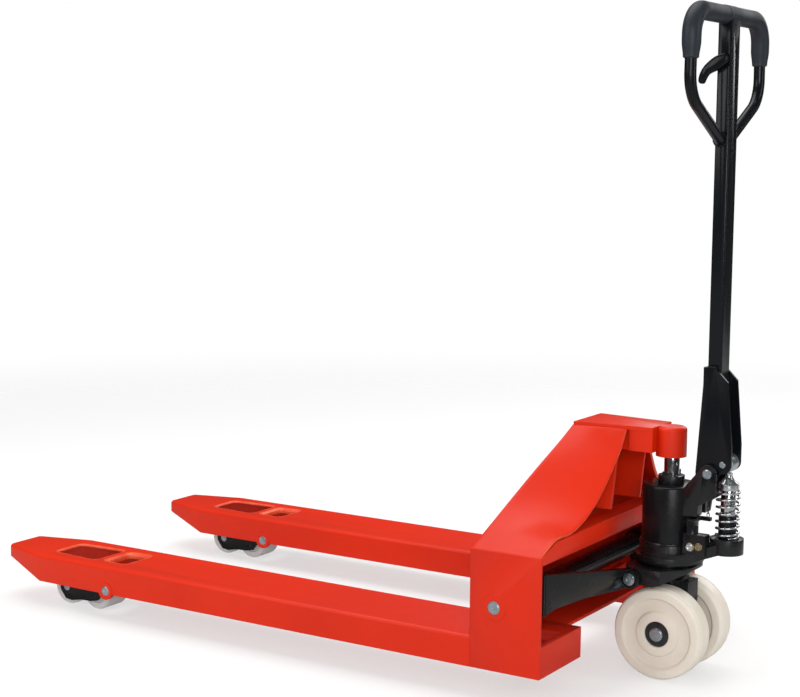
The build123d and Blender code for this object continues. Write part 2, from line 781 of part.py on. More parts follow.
def make_pump_spring():
    """Round wire coiled between the seat and the cap, with its ends pressed flat."""
    low = seat_top + spring_wire + 0.3
    high = cap_bottom - spring_wire - 0.3
    path = Helix(pitch=(high - low) / spring_turns, height=high - low, radius=spring_radius)
    start = path @ 0
    plane = Plane(origin=start, z_dir=path % 0)
    wire = sweep(plane * Circle(spring_wire), path=path, is_frenet=True)
    return Pos(heel_x + plunger_x, 0, low) * wire


def make_spring_cap():
    """Turned cap: a flat rim on the spring and a cone up to the pressure roller."""
    section = [
        (0, cap_bottom + weld_seat),
        (cap_radius, cap_bottom + weld_seat),
        (cap_radius, cap_bottom + 8),
        (cap_radius - 3, cap_bottom + 11),
        (cap_flat_radius + 3, cap_bottom + 19),
        (cap_flat_radius, cap_top - 3),
        (cap_flat_radius - 1, cap_top),
        (0, cap_top),
    ]
    face = make_face(Plane.XZ * Polyline(*section, close=True))
    return Pos(heel_x + plunger_x, 0, 0) * revolve(face, axis=Axis.Z)


valve_x = 289.0
valve_y = -44.0
valve_z = 256.0


def make_valve_block():
    """Block on the side of the pump's foot that holds the lowering valve."""
    body = block((valve_x - 20, valve_x + 22), (valve_y - 2, -24), (valve_z - 24, valve_z + 14))
    body += round_z(valve_x - 6, valve_y + 9, 10, valve_z + 10, valve_z + 26)
    ear_x = (release_pin[0] - 7, release_pin[0] + 7)
    body += block(ear_x, (valve_y - 1, valve_y + 4), (valve_z + 10, release_pin[1] + 6))
    body -= round_y(*release_pin, release_pin_radius + running, valve_y - 3, valve_y + 6)
    body -= round_z(steer_x, 0, cylinder_radius + weld_seat, base_top, cylinder_top)
    return body - make_pump_base()


def make_valve_screws():
    """Lowering valve and relief screw in the block, and the oil plug in the cylinder."""
    lower = round_y(valve_x - 4, valve_z - 8, 8, valve_y - 8, valve_y - 2 - weld_seat)
    relief = round_y(valve_x + 12, valve_z - 6, 7.0, valve_y - 8, valve_y - 2 - weld_seat)
    plug_x = steer_x - cylinder_radius - 3
    plug = Pos(heel_x + plug_x, 0, 326) * Rot(0, 90, 0) * Cylinder(5, 5.9)
    return Compound(children=[lower.solid(), relief.solid(), plug.solid()])


release_x = 298.0
release_pin = (282.0, 291.5)
release_pin_radius = 2.5
chain_top = 352.0
chain_bottom = 296.0


def make_release_lever():
    """Cranked lever on a cross pin in the valve block, which the chain pulls up."""
    low, high = release_pin[1] - 3, release_pin[1] + 3.4
    arm = block((release_pin[0] - 4, release_x + 6), (-5, 5), (low, high))
    arm += block((release_pin[0] - 4, release_pin[0] + 4), (valve_y + 5, 0), (low, high))
    return arm + round_y(*release_pin, release_pin_radius, valve_y - 2, valve_y + 6)


def make_release_chain():
    """Link rod and chain from the lever up towards the hollow of the handle's pivot."""
    link = round_z(release_x, 0, 2.2, chain_bottom, chain_top)
    link += round_z(release_x, 0, 4.5, chain_bottom + 4, chain_bottom + 9)
    return link + round_z(release_x, 0, 4.0, chain_bottom + 16, chain_bottom + 20)


# ---- handle -------------------------------------------------------------------------
def make_handle_base():
    """U-shaped foot: two cheeks round the pivot and the pressure roller, and a front web."""
    inner = tube_half_width + weld_seat
    outer = tube_half_width + cheek_plate
    foot_radius = pivot_x - tube_front + 15
    base = None
    for side in SIDES.values():
        y = both(side, inner, outer)
        outline = [
            (pivot_x - foot_radius, pivot_z),
            (tube_front - cheek_plate + 2, 571),
            (tube_front + 16, 571),
            (press_x + 6, 546),
            (press_x + 16.5, 430),
            (press_x + 16.5, press_z),
            (pivot_x, pivot_z - 20),
        ]
        cheek = plate_y(outline, *y)
        lower_front = [
            (pivot_x - 40, pivot_z + 1),
            (pivot_x + 3, pivot_z + 1),
            (pivot_x + 3, 300),
            (pivot_x - 40, 300),
        ]
        cheek += round_y(pivot_x, pivot_z, foot_radius, *y) & plate_y(lower_front, *y)
        cheek += round_y(press_x, press_z, 16.5, *y)
        cheek -= round_y(pivot_x, pivot_z, pivot_radius + running, y[0] - 1, y[1] + 1)
        cheek -= round_y(press_x, press_z, 6, y[0] - 1, y[1] + 1)
        base = cheek if base is None else base + cheek
    web = block((tube_front - cheek_plate, tube_front - weld_seat), (-outer, outer), (440, 571))
    return base + web


def make_handle_tube():
    x = (tube_front, tube_front + tube_depth)
    y = (-tube_half_width, tube_half_width)
    top = handle_height - loop_radius - weld_seat
    tube = block(x, y, (tube_bottom, top))
    tube = fillet(vertical_edges(tube), 4)
    inside = block(
        (x[0] + tube_wall, x[1] - tube_wall), (y[0] + tube_wall, y[1] - tube_wall), (tube_bottom - 1, top - 4)
    )
    tube -= inside
    tube += round_y(lever_x, lever_z, lever_pin_radius, -8, tube_half_width - 1)
    wall_y = (-tube_half_width - 1, -tube_half_width + tube_wall + 1)
    tube -= round_y(lever_x, lever_z, lever_hub_radius + running, *wall_y)
    return tube - Pos(heel_x + x[1], 0, lever_z + 12) * Rot(0, 90, 0) * Cylinder(4, 8)


def loop_path(side_from, side_to):
    """Centre line of the loop, from one foot round the top to the other."""
    x = heel_x + loop_x
    foot = tube_half_width - 3
    points = [
        (x, side_from * foot, loop_foot_z - 6),
        (x, side_from * knee_y, knee_z),
        (x, side_from * grip_half_span, handle_height),
        (x, side_to * grip_half_span, handle_height),
        (x, side_to * knee_y, knee_z),
        (x, side_to * foot, loop_foot_z - 6),
    ]
    return FilletPolyline(*points, radius=[knee_radius, loop_corner, loop_corner, knee_radius])


def tube_along(path, radius):
    plane = Plane(origin=path @ 0, z_dir=path % 0)
    return sweep(plane * Circle(radius), path=path)


def make_handle_loop():
    loop = tube_along(loop_path(-1, 1), loop_radius)
    x = (tube_front, tube_front + tube_depth)
    top = handle_height - loop_radius - weld_seat
    post = block(x, (-tube_half_width, tube_half_width), (tube_bottom, top))
    post = fillet(vertical_edges(post), 4)
    return loop - post


def make_grip(side):
    """Rubber sleeve over one half of the loop, round its corner; the two meet at the middle."""
    x = heel_x + loop_x
    lean = (grip_half_span - knee_y) / (handle_height - knee_z)
    foot_y = grip_half_span - (handle_height - grip_bottom) * lean
    points = [
        (x, side * foot_y, grip_bottom),
        (x, side * grip_half_span, handle_height),
        (x, side * 0.2, handle_height),
    ]
    sleeve = tube_along(FilletPolyline(*points, radius=loop_corner), grip_radius)
    sleeve -= tube_along(FilletPolyline(*points, radius=loop_corner), loop_radius + weld_seat)
    post = block(
        (tube_front - weld_seat, tube_front + tube_depth + weld_seat),
        (-tube_half_width - weld_seat, tube_half_width + weld_seat),
        (tube_bottom, handle_height - loop_radius),
    )
    return sleeve - post


def make_roller_pin():
    reach = tube_half_width + cheek_plate
    return round_y(press_x, press_z, 6 - weld_seat, -reach, reach)


def make_pressure_roller():
    roller = round_y(press_x, press_z, press_radius, -press_half_width, press_half_width)
    roller = fillet(roller.edges().filter_by(GeomType.CIRCLE), 2)
    return roller - round_y(press_x, press_z, 6 + running, -40, 40)


def make_control_lever():
    """Hooked finger lever beside the tube, its hub through the wall, and the arm inside."""
    near = -tube_half_width - 0.6
    hook = [
        (2, 8), (-12, 5), (-27, -5), (-38, -17), (-45, -33), (-44, -43),
        (-33, -43), (-31, -36), (-27, -28), (-17, -22), (-3, -13),
    ]
    finger = plate_y([(lever_x + x, lever_z + z) for x, z in hook], near - lever_plate, near)
    finger += round_y(lever_x, lever_z, 8, near - lever_plate, near)
    hub = round_y(lever_x, lever_z, lever_hub_radius, near - 1, 4)
    arm = block((lever_x - lever_arm - 2, lever_x), (-4, 4), (lever_z - 3, lever_z + 3))
    return finger + hub + arm - round_y(lever_x, lever_z, lever_pin_radius + running, -9, 10)


def make_pull_rod():
    """Rod inside the handle tube, from under the lever's arm down towards the pivot."""
    x = lever_x - lever_arm
    rod = round_z(x, 0, pull_rod_radius, tube_bottom + 4, lever_z - 10)
    return rod + block((x - 2, x + 2), (-4, 4), (lever_z - 11, lever_z - 7))


# ---- load end -----------------------------------------------------------------------
bogie_inner = roller_half_width + 1.0
bogie_outer = bogie_inner + bogie_plate
wheel_fork_inner = bogie_outer + 1.0
wheel_fork_outer = wheel_fork_inner + wheel_fork_plate


def capsule(a, b, radius_a, radius_b, y0, y1):
    """Flat link with round ends between two points of the XZ plane."""
    length = hypot(b[0] - a[0], b[1] - a[1])
    along = ((b[0] - a[0]) / length, (b[1] - a[1]) / length)
    across = (-along[1], along[0])
    points = [
        (a[0] + across[0] * radius_a, a[1] + across[1] * radius_a),
        (b[0] + across[0] * radius_b, b[1] + across[1] * radius_b),
        (b[0] - across[0] * radius_b, b[1] - across[1] * radius_b),
        (a[0] - across[0] * radius_a, a[1] - across[1] * radius_a),
    ]
    link = plate_y(points, y0, y1)
    link += round_y(a[0], a[1], radius_a, y0, y1)
    return link + round_y(b[0], b[1], radius_b, y0, y1)


def make_wheel_fork(side):
    """Two arms with stub pins on a sleeve, and the lug that the push rod turns."""
    centre = side * fork_y
    pin = (link_pin_x, link_pin_z)
    middle = (bogie_x, roller_radius)
    rod_pin = (rod_pin_x, rod_pin_z)
    fork = round_y(*pin, 16, centre - wheel_fork_outer, centre + wheel_fork_outer)
    for wall in (-1, 1):
        y0 = centre + wall * wheel_fork_inner
        y1 = centre + wall * wheel_fork_outer
        fork += capsule(pin, middle, 16, 13, y0, y1)
        fork += round_y(*middle, roller_axle_radius, centre + wall * (bogie_inner + 0.2), y1)
        lug0 = centre + wall * (rod_half_width + 1)
        lug1 = centre + wall * (rod_half_width + 8)
        fork += capsule(pin, rod_pin, 16, 10, lug0, lug1)
    fork += round_y(*rod_pin, rod_pin_radius, centre - rod_half_width - 8, centre + rod_half_width + 8)
    across = fork_width
    return fork - round_y(*pin, link_pin_radius + running, centre - across, centre + across)


def bogie_outline():
    """Rocking cheek seen from the side: a long hexagon round both axles."""
    front = bogie_x - roller_pitch / 2
    back = bogie_x + roller_pitch / 2
    return [
        (front - 20, 44), (front - 18, 30), (front - 4, 12), (front + 12, 10), (bogie_x, 15), (back - 12, 16),
        (back + 8, 20), (back + 20, 36), (back + 16, 52), (back, 58), (front, 58), (front - 16, 54),
    ]


def make_bogie(side):
    """Two rocking cheeks that carry a pair of rollers, one each side, on short middle pins."""
    centre = side * fork_y
    bogie = None
    for wall in (-1, 1):
        cheek = plate_y(bogie_outline(), centre + wall * bogie_inner, centre + wall * bogie_outer)
        bogie = cheek if bogie is None else bogie + cheek
    bogie -= round_y(bogie_x, roller_radius, roller_axle_radius + running, centre - 60, centre + 60)
    for end in (-1, 1):
        x = bogie_x + end * roller_pitch / 2
        bogie -= round_y(x, roller_radius, roller_axle_radius, centre - 60, centre + 60)
    return Compound(children=list(bogie.solids()))


def make_roller_axles(side):
    centre = side * fork_y
    axles = []
    for end in (-1, 1):
        x = bogie_x + end * roller_pitch / 2
        reach = bogie_outer + 0.4
        axle = round_y(x, roller_radius, roller_axle_radius - weld_seat, centre - reach, centre + reach)
        axles.append(axle.solid())
    return Compound(children=axles)


def make_roller(side, end):
    centre = side * fork_y
    x = bogie_x + end * roller_pitch / 2
    roller = round_y(x, roller_radius, roller_radius, centre - roller_half_width, centre + roller_half_width)
    roller = fillet(roller.edges().filter_by(GeomType.CIRCLE), 2.5)
    return roller - round_y(x, roller_radius, roller_axle_radius + running, centre - 60, centre + 60)


def make_push_rod(side):
    """Flat bar in the fork: an eye on the lug's pin and a slotted plate on the crank's pin."""
    centre = side * fork_y
    y = (centre - rod_half_width, centre + rod_half_width)
    half = rod_height / 2
    low = rod_pin_z - half
    plate_front = crank_x - crank_pin_radius - 2 * gap - rod_wall
    plate_back = crank_x + crank_pin_radius + 2 * gap + rod_wall
    slot_low = crank_z - crank_pin_radius - pin_fall - gap
    slot_high = crank_z + crank_pin_radius + pin_rise + gap
    rod = round_y(rod_pin_x, rod_pin_z, half, *y)
    rod += block((rod_pin_x, plate_back), y, (low, low + rod_height))
    rod += block((plate_front, plate_back), y, (low, slot_high + rod_wall))
    rod -= block((plate_front + rod_wall, plate_back - rod_wall), (y[0] - 1, y[1] + 1), (slot_low, slot_high))
    return rod - round_y(rod_pin_x, rod_pin_z, rod_pin_radius + running, y[0] - 1, y[1] + 1)


# ---- all nodes ----------------------------------------------------------------------
def all_nodes():
    nodes = {
        "steer_carrier": make_carrier(),
        "thrust_bearing": make_thrust_bearing(),
        "arm_bolts": make_arm_bolts(),
        "torsion_tube": make_torsion_tube(),
        "crank_pins": make_crank_pins(),
        "heel_pins": make_heel_pins(),
        "front_plate": make_front_plate(),
        "rear_band": make_rear_band(),
        "cross_plate": make_cross_plate(),
        "tower_ribs": make_tower_ribs(),
        "lift_head": make_lift_head(),
        "fork_axle_pins": make_fork_axle_pins(),
        "pump_base": make_pump_base(),
        "pump_cylinder": make_pump_cylinder(),
        "ram_gland": make_ram_gland(),
        "lift_ram": make_lift_ram(),
        "handle_lugs": make_handle_lugs(),
        "pivot_bolt": make_pivot_bolt(),
        "plunger_barrel": make_plunger_barrel(),
        "pump_plunger": make_pump_plunger(),
        "pump_spring": make_pump_spring(),
        "spring_cap": make_spring_cap(),
        "valve_block": make_valve_block(),
        "valve_screws": make_valve_screws(),
        "release_lever": make_release_lever(),
        "release_chain": make_release_chain(),
        "steer_yoke": make_steer_yoke(),
        "steer_axle": make_steer_axle(),
        "steer_bearings": make_steer_bearings(),
        "handle_base": make_handle_base(),
        "handle_tube": make_handle_tube(),
        "handle_loop": make_handle_loop(),
        "roller_pin": make_roller_pin(),
        "pressure_roller": make_pressure_roller(),
        "control_lever": make_control_lever(),
        "pull_rod": make_pull_rod(),
    }
    for name, side in SIDES.items():
        nodes[f"{name}_fork"] = make_fork(side)
        nodes[f"{name}_heel"] = make_heel(side)
        nodes[f"{name}_side_flange"] = make_side_flange(side)
        nodes[f"{name}_arm"] = make_arm(side)
        nodes[f"{name}_grip"] = make_grip(side)
        nodes[f"{name}_steer_wheel"] = make_steer_wheel(side)
        nodes[f"{name}_wheel_fork"] = make_wheel_fork(side)
        nodes[f"{name}_bogie"] = make_bogie(side)
        nodes[f"{name}_roller_axles"] = make_roller_axles(side)
        nodes[f"{name}_front_roller"] = make_roller(side, -1)
        nodes[f"{name}_rear_roller"] = make_roller(side, 1)
        nodes[f"{name}_push_rod"] = make_push_rod(side)
    return nodes


os.makedirs("parts", exist_ok=True)
for node_name, shape in all_nodes().items():
    export_step(shape, f"parts/{node_name}.step")

print("heel_x", round(heel_x, 3), "overall length", overall_length)
print("lift range deg", round(degrees(lift_down), 3), round(degrees(lift_up), 3))
print("wheel ratio", round(wheel_ratio, 5), "crank length", round(crank_length, 3))
print("crank pin", round(crank_x, 3), round(crank_z, 3), "rod pin", round(rod_pin_x, 3), round(rod_pin_z, 3))
print("frame shift", round(frame_shift_min, 3), round(frame_shift_max, 3))
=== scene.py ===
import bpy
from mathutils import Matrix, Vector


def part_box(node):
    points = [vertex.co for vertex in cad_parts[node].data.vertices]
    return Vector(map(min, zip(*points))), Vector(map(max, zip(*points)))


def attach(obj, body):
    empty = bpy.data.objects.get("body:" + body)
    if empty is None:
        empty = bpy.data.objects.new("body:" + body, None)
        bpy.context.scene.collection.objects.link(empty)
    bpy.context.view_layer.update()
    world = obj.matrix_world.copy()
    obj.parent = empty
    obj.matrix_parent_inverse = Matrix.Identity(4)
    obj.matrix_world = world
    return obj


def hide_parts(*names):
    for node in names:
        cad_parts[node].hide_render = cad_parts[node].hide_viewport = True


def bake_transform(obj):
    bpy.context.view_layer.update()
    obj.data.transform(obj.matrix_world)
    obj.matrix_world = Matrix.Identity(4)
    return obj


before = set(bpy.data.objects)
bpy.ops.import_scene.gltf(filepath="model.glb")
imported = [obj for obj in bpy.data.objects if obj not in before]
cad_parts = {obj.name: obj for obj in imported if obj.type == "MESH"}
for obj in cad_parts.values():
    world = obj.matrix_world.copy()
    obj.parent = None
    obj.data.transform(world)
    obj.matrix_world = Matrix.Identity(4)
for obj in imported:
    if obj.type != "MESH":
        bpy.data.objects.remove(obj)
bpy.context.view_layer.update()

import bmesh
import bpy
import math
from mathutils import Matrix, Vector

# ---- camera -------------------------------------------------------------------------
# A long lens at hip height behind the operator's corner of the truck, looking down the
# forks. All places in this file are metres, in the truck's own frame.
camera_azimuth = math.radians(32.288)
camera_elevation = math.radians(6.946)
camera_roll = math.radians(0.4904)
camera_place = Vector((1.7901, -2.7881, 0.9561))
film_width = 36.0
lens_over_film = 1660.6 / 800

back = Vector((
    math.sin(camera_azimuth) * math.cos(camera_elevation),
    -math.cos(camera_azimuth) * math.cos(camera_elevation),
    math.sin(camera_elevation),
))
level = Vector((math.cos(camera_azimuth), math.sin(camera_azimuth), 0))
upright = back.cross(level)
right = level * math.cos(camera_roll) + upright * math.sin(camera_roll)
up = -level * math.sin(camera_roll) + upright * math.cos(camera_roll)
lens = bpy.data.cameras.new("camera")
lens.sensor_width = film_width
lens.lens = lens_over_film * film_width
camera = bpy.data.objects.new("camera", lens)
bpy.context.scene.collection.objects.link(camera)
camera.matrix_world = Matrix((
    (right.x, up.x, back.x, camera_place.x),
    (right.y, up.y, back.y, camera_place.y),
    (right.z, up.z, back.z, camera_place.z),
    (0, 0, 0, 1),
))
bpy.context.scene.camera = camera

# ---- floor and studio ---------------------------------------------------------------
# A pale studio floor that fades into a white surround, under soft boxes: a large one
# overhead, a key on the operator's left and a strip that draws lines on the black parts.
floor_radius = 7.0
floor_fade = (2.4, 4.6)
floor_colour = (0.92, 0.92, 0.92)
floor_solid = 0.45
surround = 1.0
fill_light = 0.55
reflected_light = 0.06


def material(name):
    """New node material and its Principled shader."""
    made = bpy.data.materials.new(name)
    made.use_nodes = True
    return made, made.node_tree.nodes["Principled BSDF"]


def add_mesh(name, vertices, faces):
    """Mesh object at the origin, with its place in its vertices."""
    mesh = bpy.data.meshes.new(name)
    mesh.from_pydata([tuple(v) for v in vertices], [], faces)
    mesh.validate()
    made = bpy.data.objects.new(name, mesh)
    bpy.context.scene.collection.objects.link(made)
    return made


def node_maker(tree):
    """Makers of a tree's nodes and links; a preset sets a property or the input of that name."""
    def node(kind, **presets):
        made = tree.nodes.new(kind)
        for label, value in presets.items():
            if hasattr(made, label):
                setattr(made, label, value)
            else:
                made.inputs[label.replace("_", " ")].default_value = value
        return made

    def join(*links):
        for source, output, target, socket in links:
            tree.links.new(source.outputs[output], target.inputs[socket])

    return node, join


floor_turns = 96
angles = [t * math.tau / floor_turns for t in range(floor_turns)]
rim = [(floor_radius * math.cos(angle), floor_radius * math.sin(angle), 0) for angle in angles]
floor = add_mesh("studio_floor", rim, [tuple(range(floor_turns))])
floor_finish, floor_shader = material("pale_floor")
floor_shader.inputs["Base Color"].default_value = (*floor_colour, 1)
floor_shader.inputs["Roughness"].default_value = 0.7
floor_shader.inputs["Specular IOR Level"].default_value = 0.2
node, join = node_maker(floor_finish.node_tree)
distance = node("ShaderNodeVectorMath", operation="LENGTH")
fade = node("ShaderNodeMapRange", interpolation_type="SMOOTHSTEP", From_Min=floor_fade[0],
            From_Max=floor_fade[1], To_Min=floor_solid, To_Max=0)
join(
    (node("ShaderNodeTexCoord"), "Object", distance, 0), (distance, "Value", fade, "Value"),
    (fade, "Result", floor_shader, "Alpha"),
)
floor.data.materials.append(floor_finish)

world = bpy.data.worlds.new("studio")
bpy.context.scene.world = world
bpy.context.scene.view_settings.view_transform = "Standard"
world.use_nodes = True
node, join = node_maker(world.node_tree)
plain = world.node_tree.nodes["Background"]
plain.inputs["Strength"].default_value = fill_light
plain.inputs["Color"].default_value = (1, 1, 1, 1)
mirrored = node("ShaderNodeBackground", Strength=reflected_light, Color=(1, 1, 1, 1))
seen = node("ShaderNodeBackground", Strength=surround, Color=(1, 1, 1, 1))
paths = node("ShaderNodeLightPath")
glossy = node("ShaderNodeMixShader")
choose = node("ShaderNodeMixShader")
join(
    (paths, "Is Glossy Ray", glossy, "Fac"), (plain, "Background", glossy, 1),
    (mirrored, "Background", glossy, 2), (paths, "Is Camera Ray", choose, "Fac"),
    (glossy, "Shader", choose, 1), (seen, "Background", choose, 2),
    (choose, "Shader", world.node_tree.nodes["World Output"], "Surface"),
)


def soft_box(name, place, aim, size, power):
    """Rectangular area light at a place, turned to an aim point."""
    light = bpy.data.lights.new(name, "AREA")
    light.shape = "RECTANGLE"
    light.size, light.size_y = size
    light.energy = power
    lamp = bpy.data.objects.new(name, light)
    bpy.context.scene.collection.objects.link(lamp)
    lamp.location = place
    lamp.rotation_euler = (Vector(aim) - Vector(place)).to_track_quat("-Z", "Y").to_euler()


soft_box("overhead_box", (-0.4, 0.2, 3.6), (-0.1, 0, 0), (3.4, 2.6), 88)
soft_box("key_box", (-1.6, -3.4, 2.2), (0, 0, 0.3), (2.4, 1.6), 38)
soft_box("front_box", (2.6, -3.6, 1.3), (0.3, 0, 0.3), (1.8, 1.4), 58)
soft_box("operator_strip", (3.2, 0.6, 1.5), (0.5, 0, 0.5), (0.35, 2.4), 14)
soft_box("far_box", (0.4, 3.6, 2.0), (0.2, 0, 0.4), (2.6, 1.4), 30)

# ---- forks --------------------------------------------------------------------------
# Two channels pressed from 5 mm plate, bent down along both sides and narrowed to the
# tip. They are painted gloss red; the edges of the bends and windows are left rounded,
# and those rounds and the window lips are a lighter red that is a painted highlight.
fork_bend = 0.0022
window_rim_steps = 6
paint_colour = (0.72, 0.026, 0.003)
paint_deep = (0.60, 0.017, 0.002)
# Lighter, pinker red for rounded edges and window lips: a painted highlight for the light that the rounds
# catch.
painted_highlight_red = (0.88, 0.150, 0.060)


def shader_group(name, inputs, outputs):
    """Node group with named sockets; inputs are (socket type, name, default)."""
    group = bpy.data.node_groups.new(name, "ShaderNodeTree")
    for kind, label, value in inputs:
        socket = group.interface.new_socket(label, in_out="INPUT", socket_type=kind)
        socket.default_value = value
    for kind, label in outputs:
        group.interface.new_socket(label, in_out="OUTPUT", socket_type=kind)
    start = group.nodes.new("NodeGroupInput")
    end = group.nodes.new("NodeGroupOutput")
    return group, start, end


# The skin of a sprayed or cast surface: slow mottling of its colour, a little spread of
# its roughness, and fine relief such as orange peel or casting grain.
skin_group, skin_in, skin_out = shader_group(
    "surface_skin",
    [
        ("NodeSocketColor", "Colour", (0.5, 0.5, 0.5, 1)),
        ("NodeSocketColor", "Deep colour", (0.3, 0.3, 0.3, 1)),
        ("NodeSocketFloat", "Mottle scale", 6.0),
        ("NodeSocketFloat", "Roughness low", 0.2),
        ("NodeSocketFloat", "Roughness high", 0.4),
        ("NodeSocketFloat", "Grain scale", 300.0),
        ("NodeSocketFloat", "Grain strength", 0.1),
    ],
    [("NodeSocketColor", "Colour"), ("NodeSocketFloat", "Roughness"), ("NodeSocketVector", "Normal")],
)
node, join = node_maker(skin_group)
skin_where = node("ShaderNodeTexCoord")
skin_mottle = node("ShaderNodeTexNoise", Detail=6, Roughness=0.62)
skin_grain = node("ShaderNodeTexNoise", Detail=3)
skin_mix = node("ShaderNodeMix", data_type="RGBA")
skin_spread = node("ShaderNodeMapRange", From_Min=0.35, From_Max=0.65)
skin_shade = node("ShaderNodeMapRange", From_Min=0.3, From_Max=0.72)
skin_bump = node("ShaderNodeBump", Distance=0.0004)
join(
    (skin_where, "Object", skin_mottle, "Vector"), (skin_where, "Object", skin_grain, "Vector"),
    (skin_in, "Mottle scale", skin_mottle, "Scale"), (skin_in, "Grain scale", skin_grain, "Scale"),
    (skin_mottle, "Fac", skin_shade, "Value"), (skin_shade, "Result", skin_mix, 0),
    (skin_in, "Colour", skin_mix, 6), (skin_in, "Deep colour", skin_mix, 7),
    (skin_mottle, "Fac", skin_spread, "Value"),
    (skin_in, "Roughness low", skin_spread, "To Min"), (skin_in, "Roughness high", skin_spread, "To Max"),
    (skin_grain, "Fac", skin_bump, "Height"), (skin_in, "Grain strength", skin_bump, "Strength"),
    (skin_mix, 2, skin_out, "Colour"), (skin_spread, "Result", skin_out, "Roughness"),
    (skin_bump, "Normal", skin_out, "Normal"),
)


def finish(name, colour, deep, mottle, roughness, grain, strength, metal=0.0, coat=0.0, coat_roughness=0.1,
           specular=0.5):
    """Material whose Principled shader is fed by the surface skin."""
    made, shader = material(name)
    node, join = node_maker(made.node_tree)
    skin = node("ShaderNodeGroup", node_tree=skin_group)
    values = (
        ("Colour", (*colour, 1)), ("Deep colour", (*deep, 1)), ("Mottle scale", mottle),
        ("Roughness low", roughness[0]), ("Roughness high", roughness[1]), ("Grain scale", grain),
        ("Grain strength", strength),
    )
    for label, value in values:
        skin.inputs[label].default_value = value
    join((skin, "Colour", shader, "Base Color"), (skin, "Roughness", shader, "Roughness"),
         (skin, "Normal", shader, "Normal"))
    shader.inputs["Metallic"].default_value = metal
    shader.inputs["Specular IOR Level"].default_value = specular
    shader.inputs["Coat Weight"].default_value = coat
    shader.inputs["Coat Roughness"].default_value = coat_roughness
    return made


red_paint = finish("red_gloss_paint", paint_colour, paint_deep, 2.2, (0.34, 0.46), 420, 0.05, coat=0.06,
                   coat_roughness=0.16, specular=0.20)
# The rounded edges get this lighter red: a painted highlight.
red_painted_highlight = finish("red_paint_painted_edge_highlight", painted_highlight_red, paint_colour, 30, (0.32, 0.42), 420, 0.05, coat=0.2,
                  coat_roughness=0.16, specular=0.4)


def put_on(piece, body, slot, *materials):
    """Gives a finished piece its materials and its body; its slot is not used."""
    if materials:
        piece.data.materials.clear()
        for entry in materials:
            piece.data.materials.append(entry)
    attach(piece, body)
    return piece


def shade(piece, angle=35):
    """Smooth shading, with the edges sharper than an angle kept crisp."""
    piece.data.shade_smooth()
    edit = bmesh.new()
    edit.from_mesh(piece.data)
    for edge in edit.edges:
        if len(edge.link_faces) == 2:
            edge.smooth = edge.calc_face_angle(0) < math.radians(angle)
    edit.to_mesh(piece.data)
    edit.free()


def baked(name, source):
    """New object with the mesh that an object's modifiers give; the source is removed."""
    bpy.context.view_layer.update()
    mesh = bpy.data.meshes.new_from_object(source.evaluated_get(bpy.context.evaluated_depsgraph_get()))
    bpy.data.objects.remove(source)
    mesh.name = name
    made = bpy.data.objects.new(name, mesh)
    bpy.context.scene.collection.objects.link(made)
    return made


def softened(node, width, segments=3, highlight_on_rounds=False, angle=28):
    """Copy of a CAD plate or forging whose sharp edges are rounded, as paint and dies leave them; when asked,
    the rounds take the second, lighter material as a painted highlight.
    """
    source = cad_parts[node]
    mesh = source.data.copy()
    edit = bmesh.new()
    edit.from_mesh(mesh)
    bmesh.ops.remove_doubles(edit, verts=edit.verts, dist=1e-5)
    bmesh.ops.dissolve_limit(edit, angle_limit=math.radians(0.8), verts=edit.verts, edges=edit.edges)
    edit.to_mesh(mesh)
    edit.free()
    mesh.shade_smooth()
    rough = bpy.data.objects.new(node + "_rough", mesh)
    bpy.context.scene.collection.objects.link(rough)
    mesh.materials.clear()
    mesh.materials.append(red_paint)
    mesh.materials.append(red_painted_highlight)
    for face in mesh.polygons:
        face.material_index = 0
    bevel = rough.modifiers.new("round_edges", "BEVEL")
    bevel.limit_method = "ANGLE"
    bevel.angle_limit = math.radians(angle)
    bevel.width = width
    bevel.segments = segments
    bevel.use_clamp_overlap = True
    bevel.miter_outer = "MITER_ARC"
    bevel.harden_normals = True
    # The bevel faces take the second, lighter material: a painted highlight on the rounded edges.
    if highlight_on_rounds:
        bevel.material = 1
    piece = baked(node + "_finished", rough)
    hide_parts(node)
    return piece


def finish_like(node, body, slot, width, finish_material, segments=3, edge=None, angle=28):
    """A softened CAD node in its finish, on its own body; a given edge material colours the rounds as a painted
    highlight.
    """
    piece = softened(node, width, segments, edge is not None, angle)
    parts = (finish_material, edge) if edge else (finish_material,)
    return put_on(piece, body, slot, *parts)


def slab_outline(corners, radius, steps=6):
    """Closed outline in the XY plane with every corner rounded."""
    points = []
    count = len(corners)
    for index in range(count):
        before = Vector(corners[index - 1])
        here = Vector(corners[index])
        after = Vector(corners[(index + 1) % count])
        one = (before - here).normalized()
        two = (after - here).normalized()
        half = one.angle(two) / 2
        centre = here + (one + two).normalized() * radius / math.sin(half)
        start = here + one * radius / math.tan(half) - centre
        sweep = start.xy.angle_signed((here + two * radius / math.tan(half) - centre).xy)
        for step in range(steps + 1):
            turned = start.copy()
            turned.rotate(Matrix.Rotation(-sweep * step / steps, 2))
            points.append(centre + turned)
    return points


def window_rim(outline, top, reach, depth, skirt):
    """Pressed lip that curls down from the load face into a window."""
    rings = []
    centre = sum(outline, Vector((0, 0))) / len(outline)
    for step in range(window_rim_steps + 3):
        turn = min(1, max(0, step - 1) / window_rim_steps) * math.pi / 2
        inward = reach * math.sin(turn)
        drop = depth * (1 - math.cos(turn))
        if step == 0:
            inward, drop = -0.0025, 0.0
        if step == window_rim_steps + 2:
            drop += skirt
        ring = []
        for point in outline:
            out = (point - centre).normalized()
            moved = point - out * inward
            ring.append((moved.x, moved.y, top + 0.0003 - drop))
        rings.append(ring)
    return rings


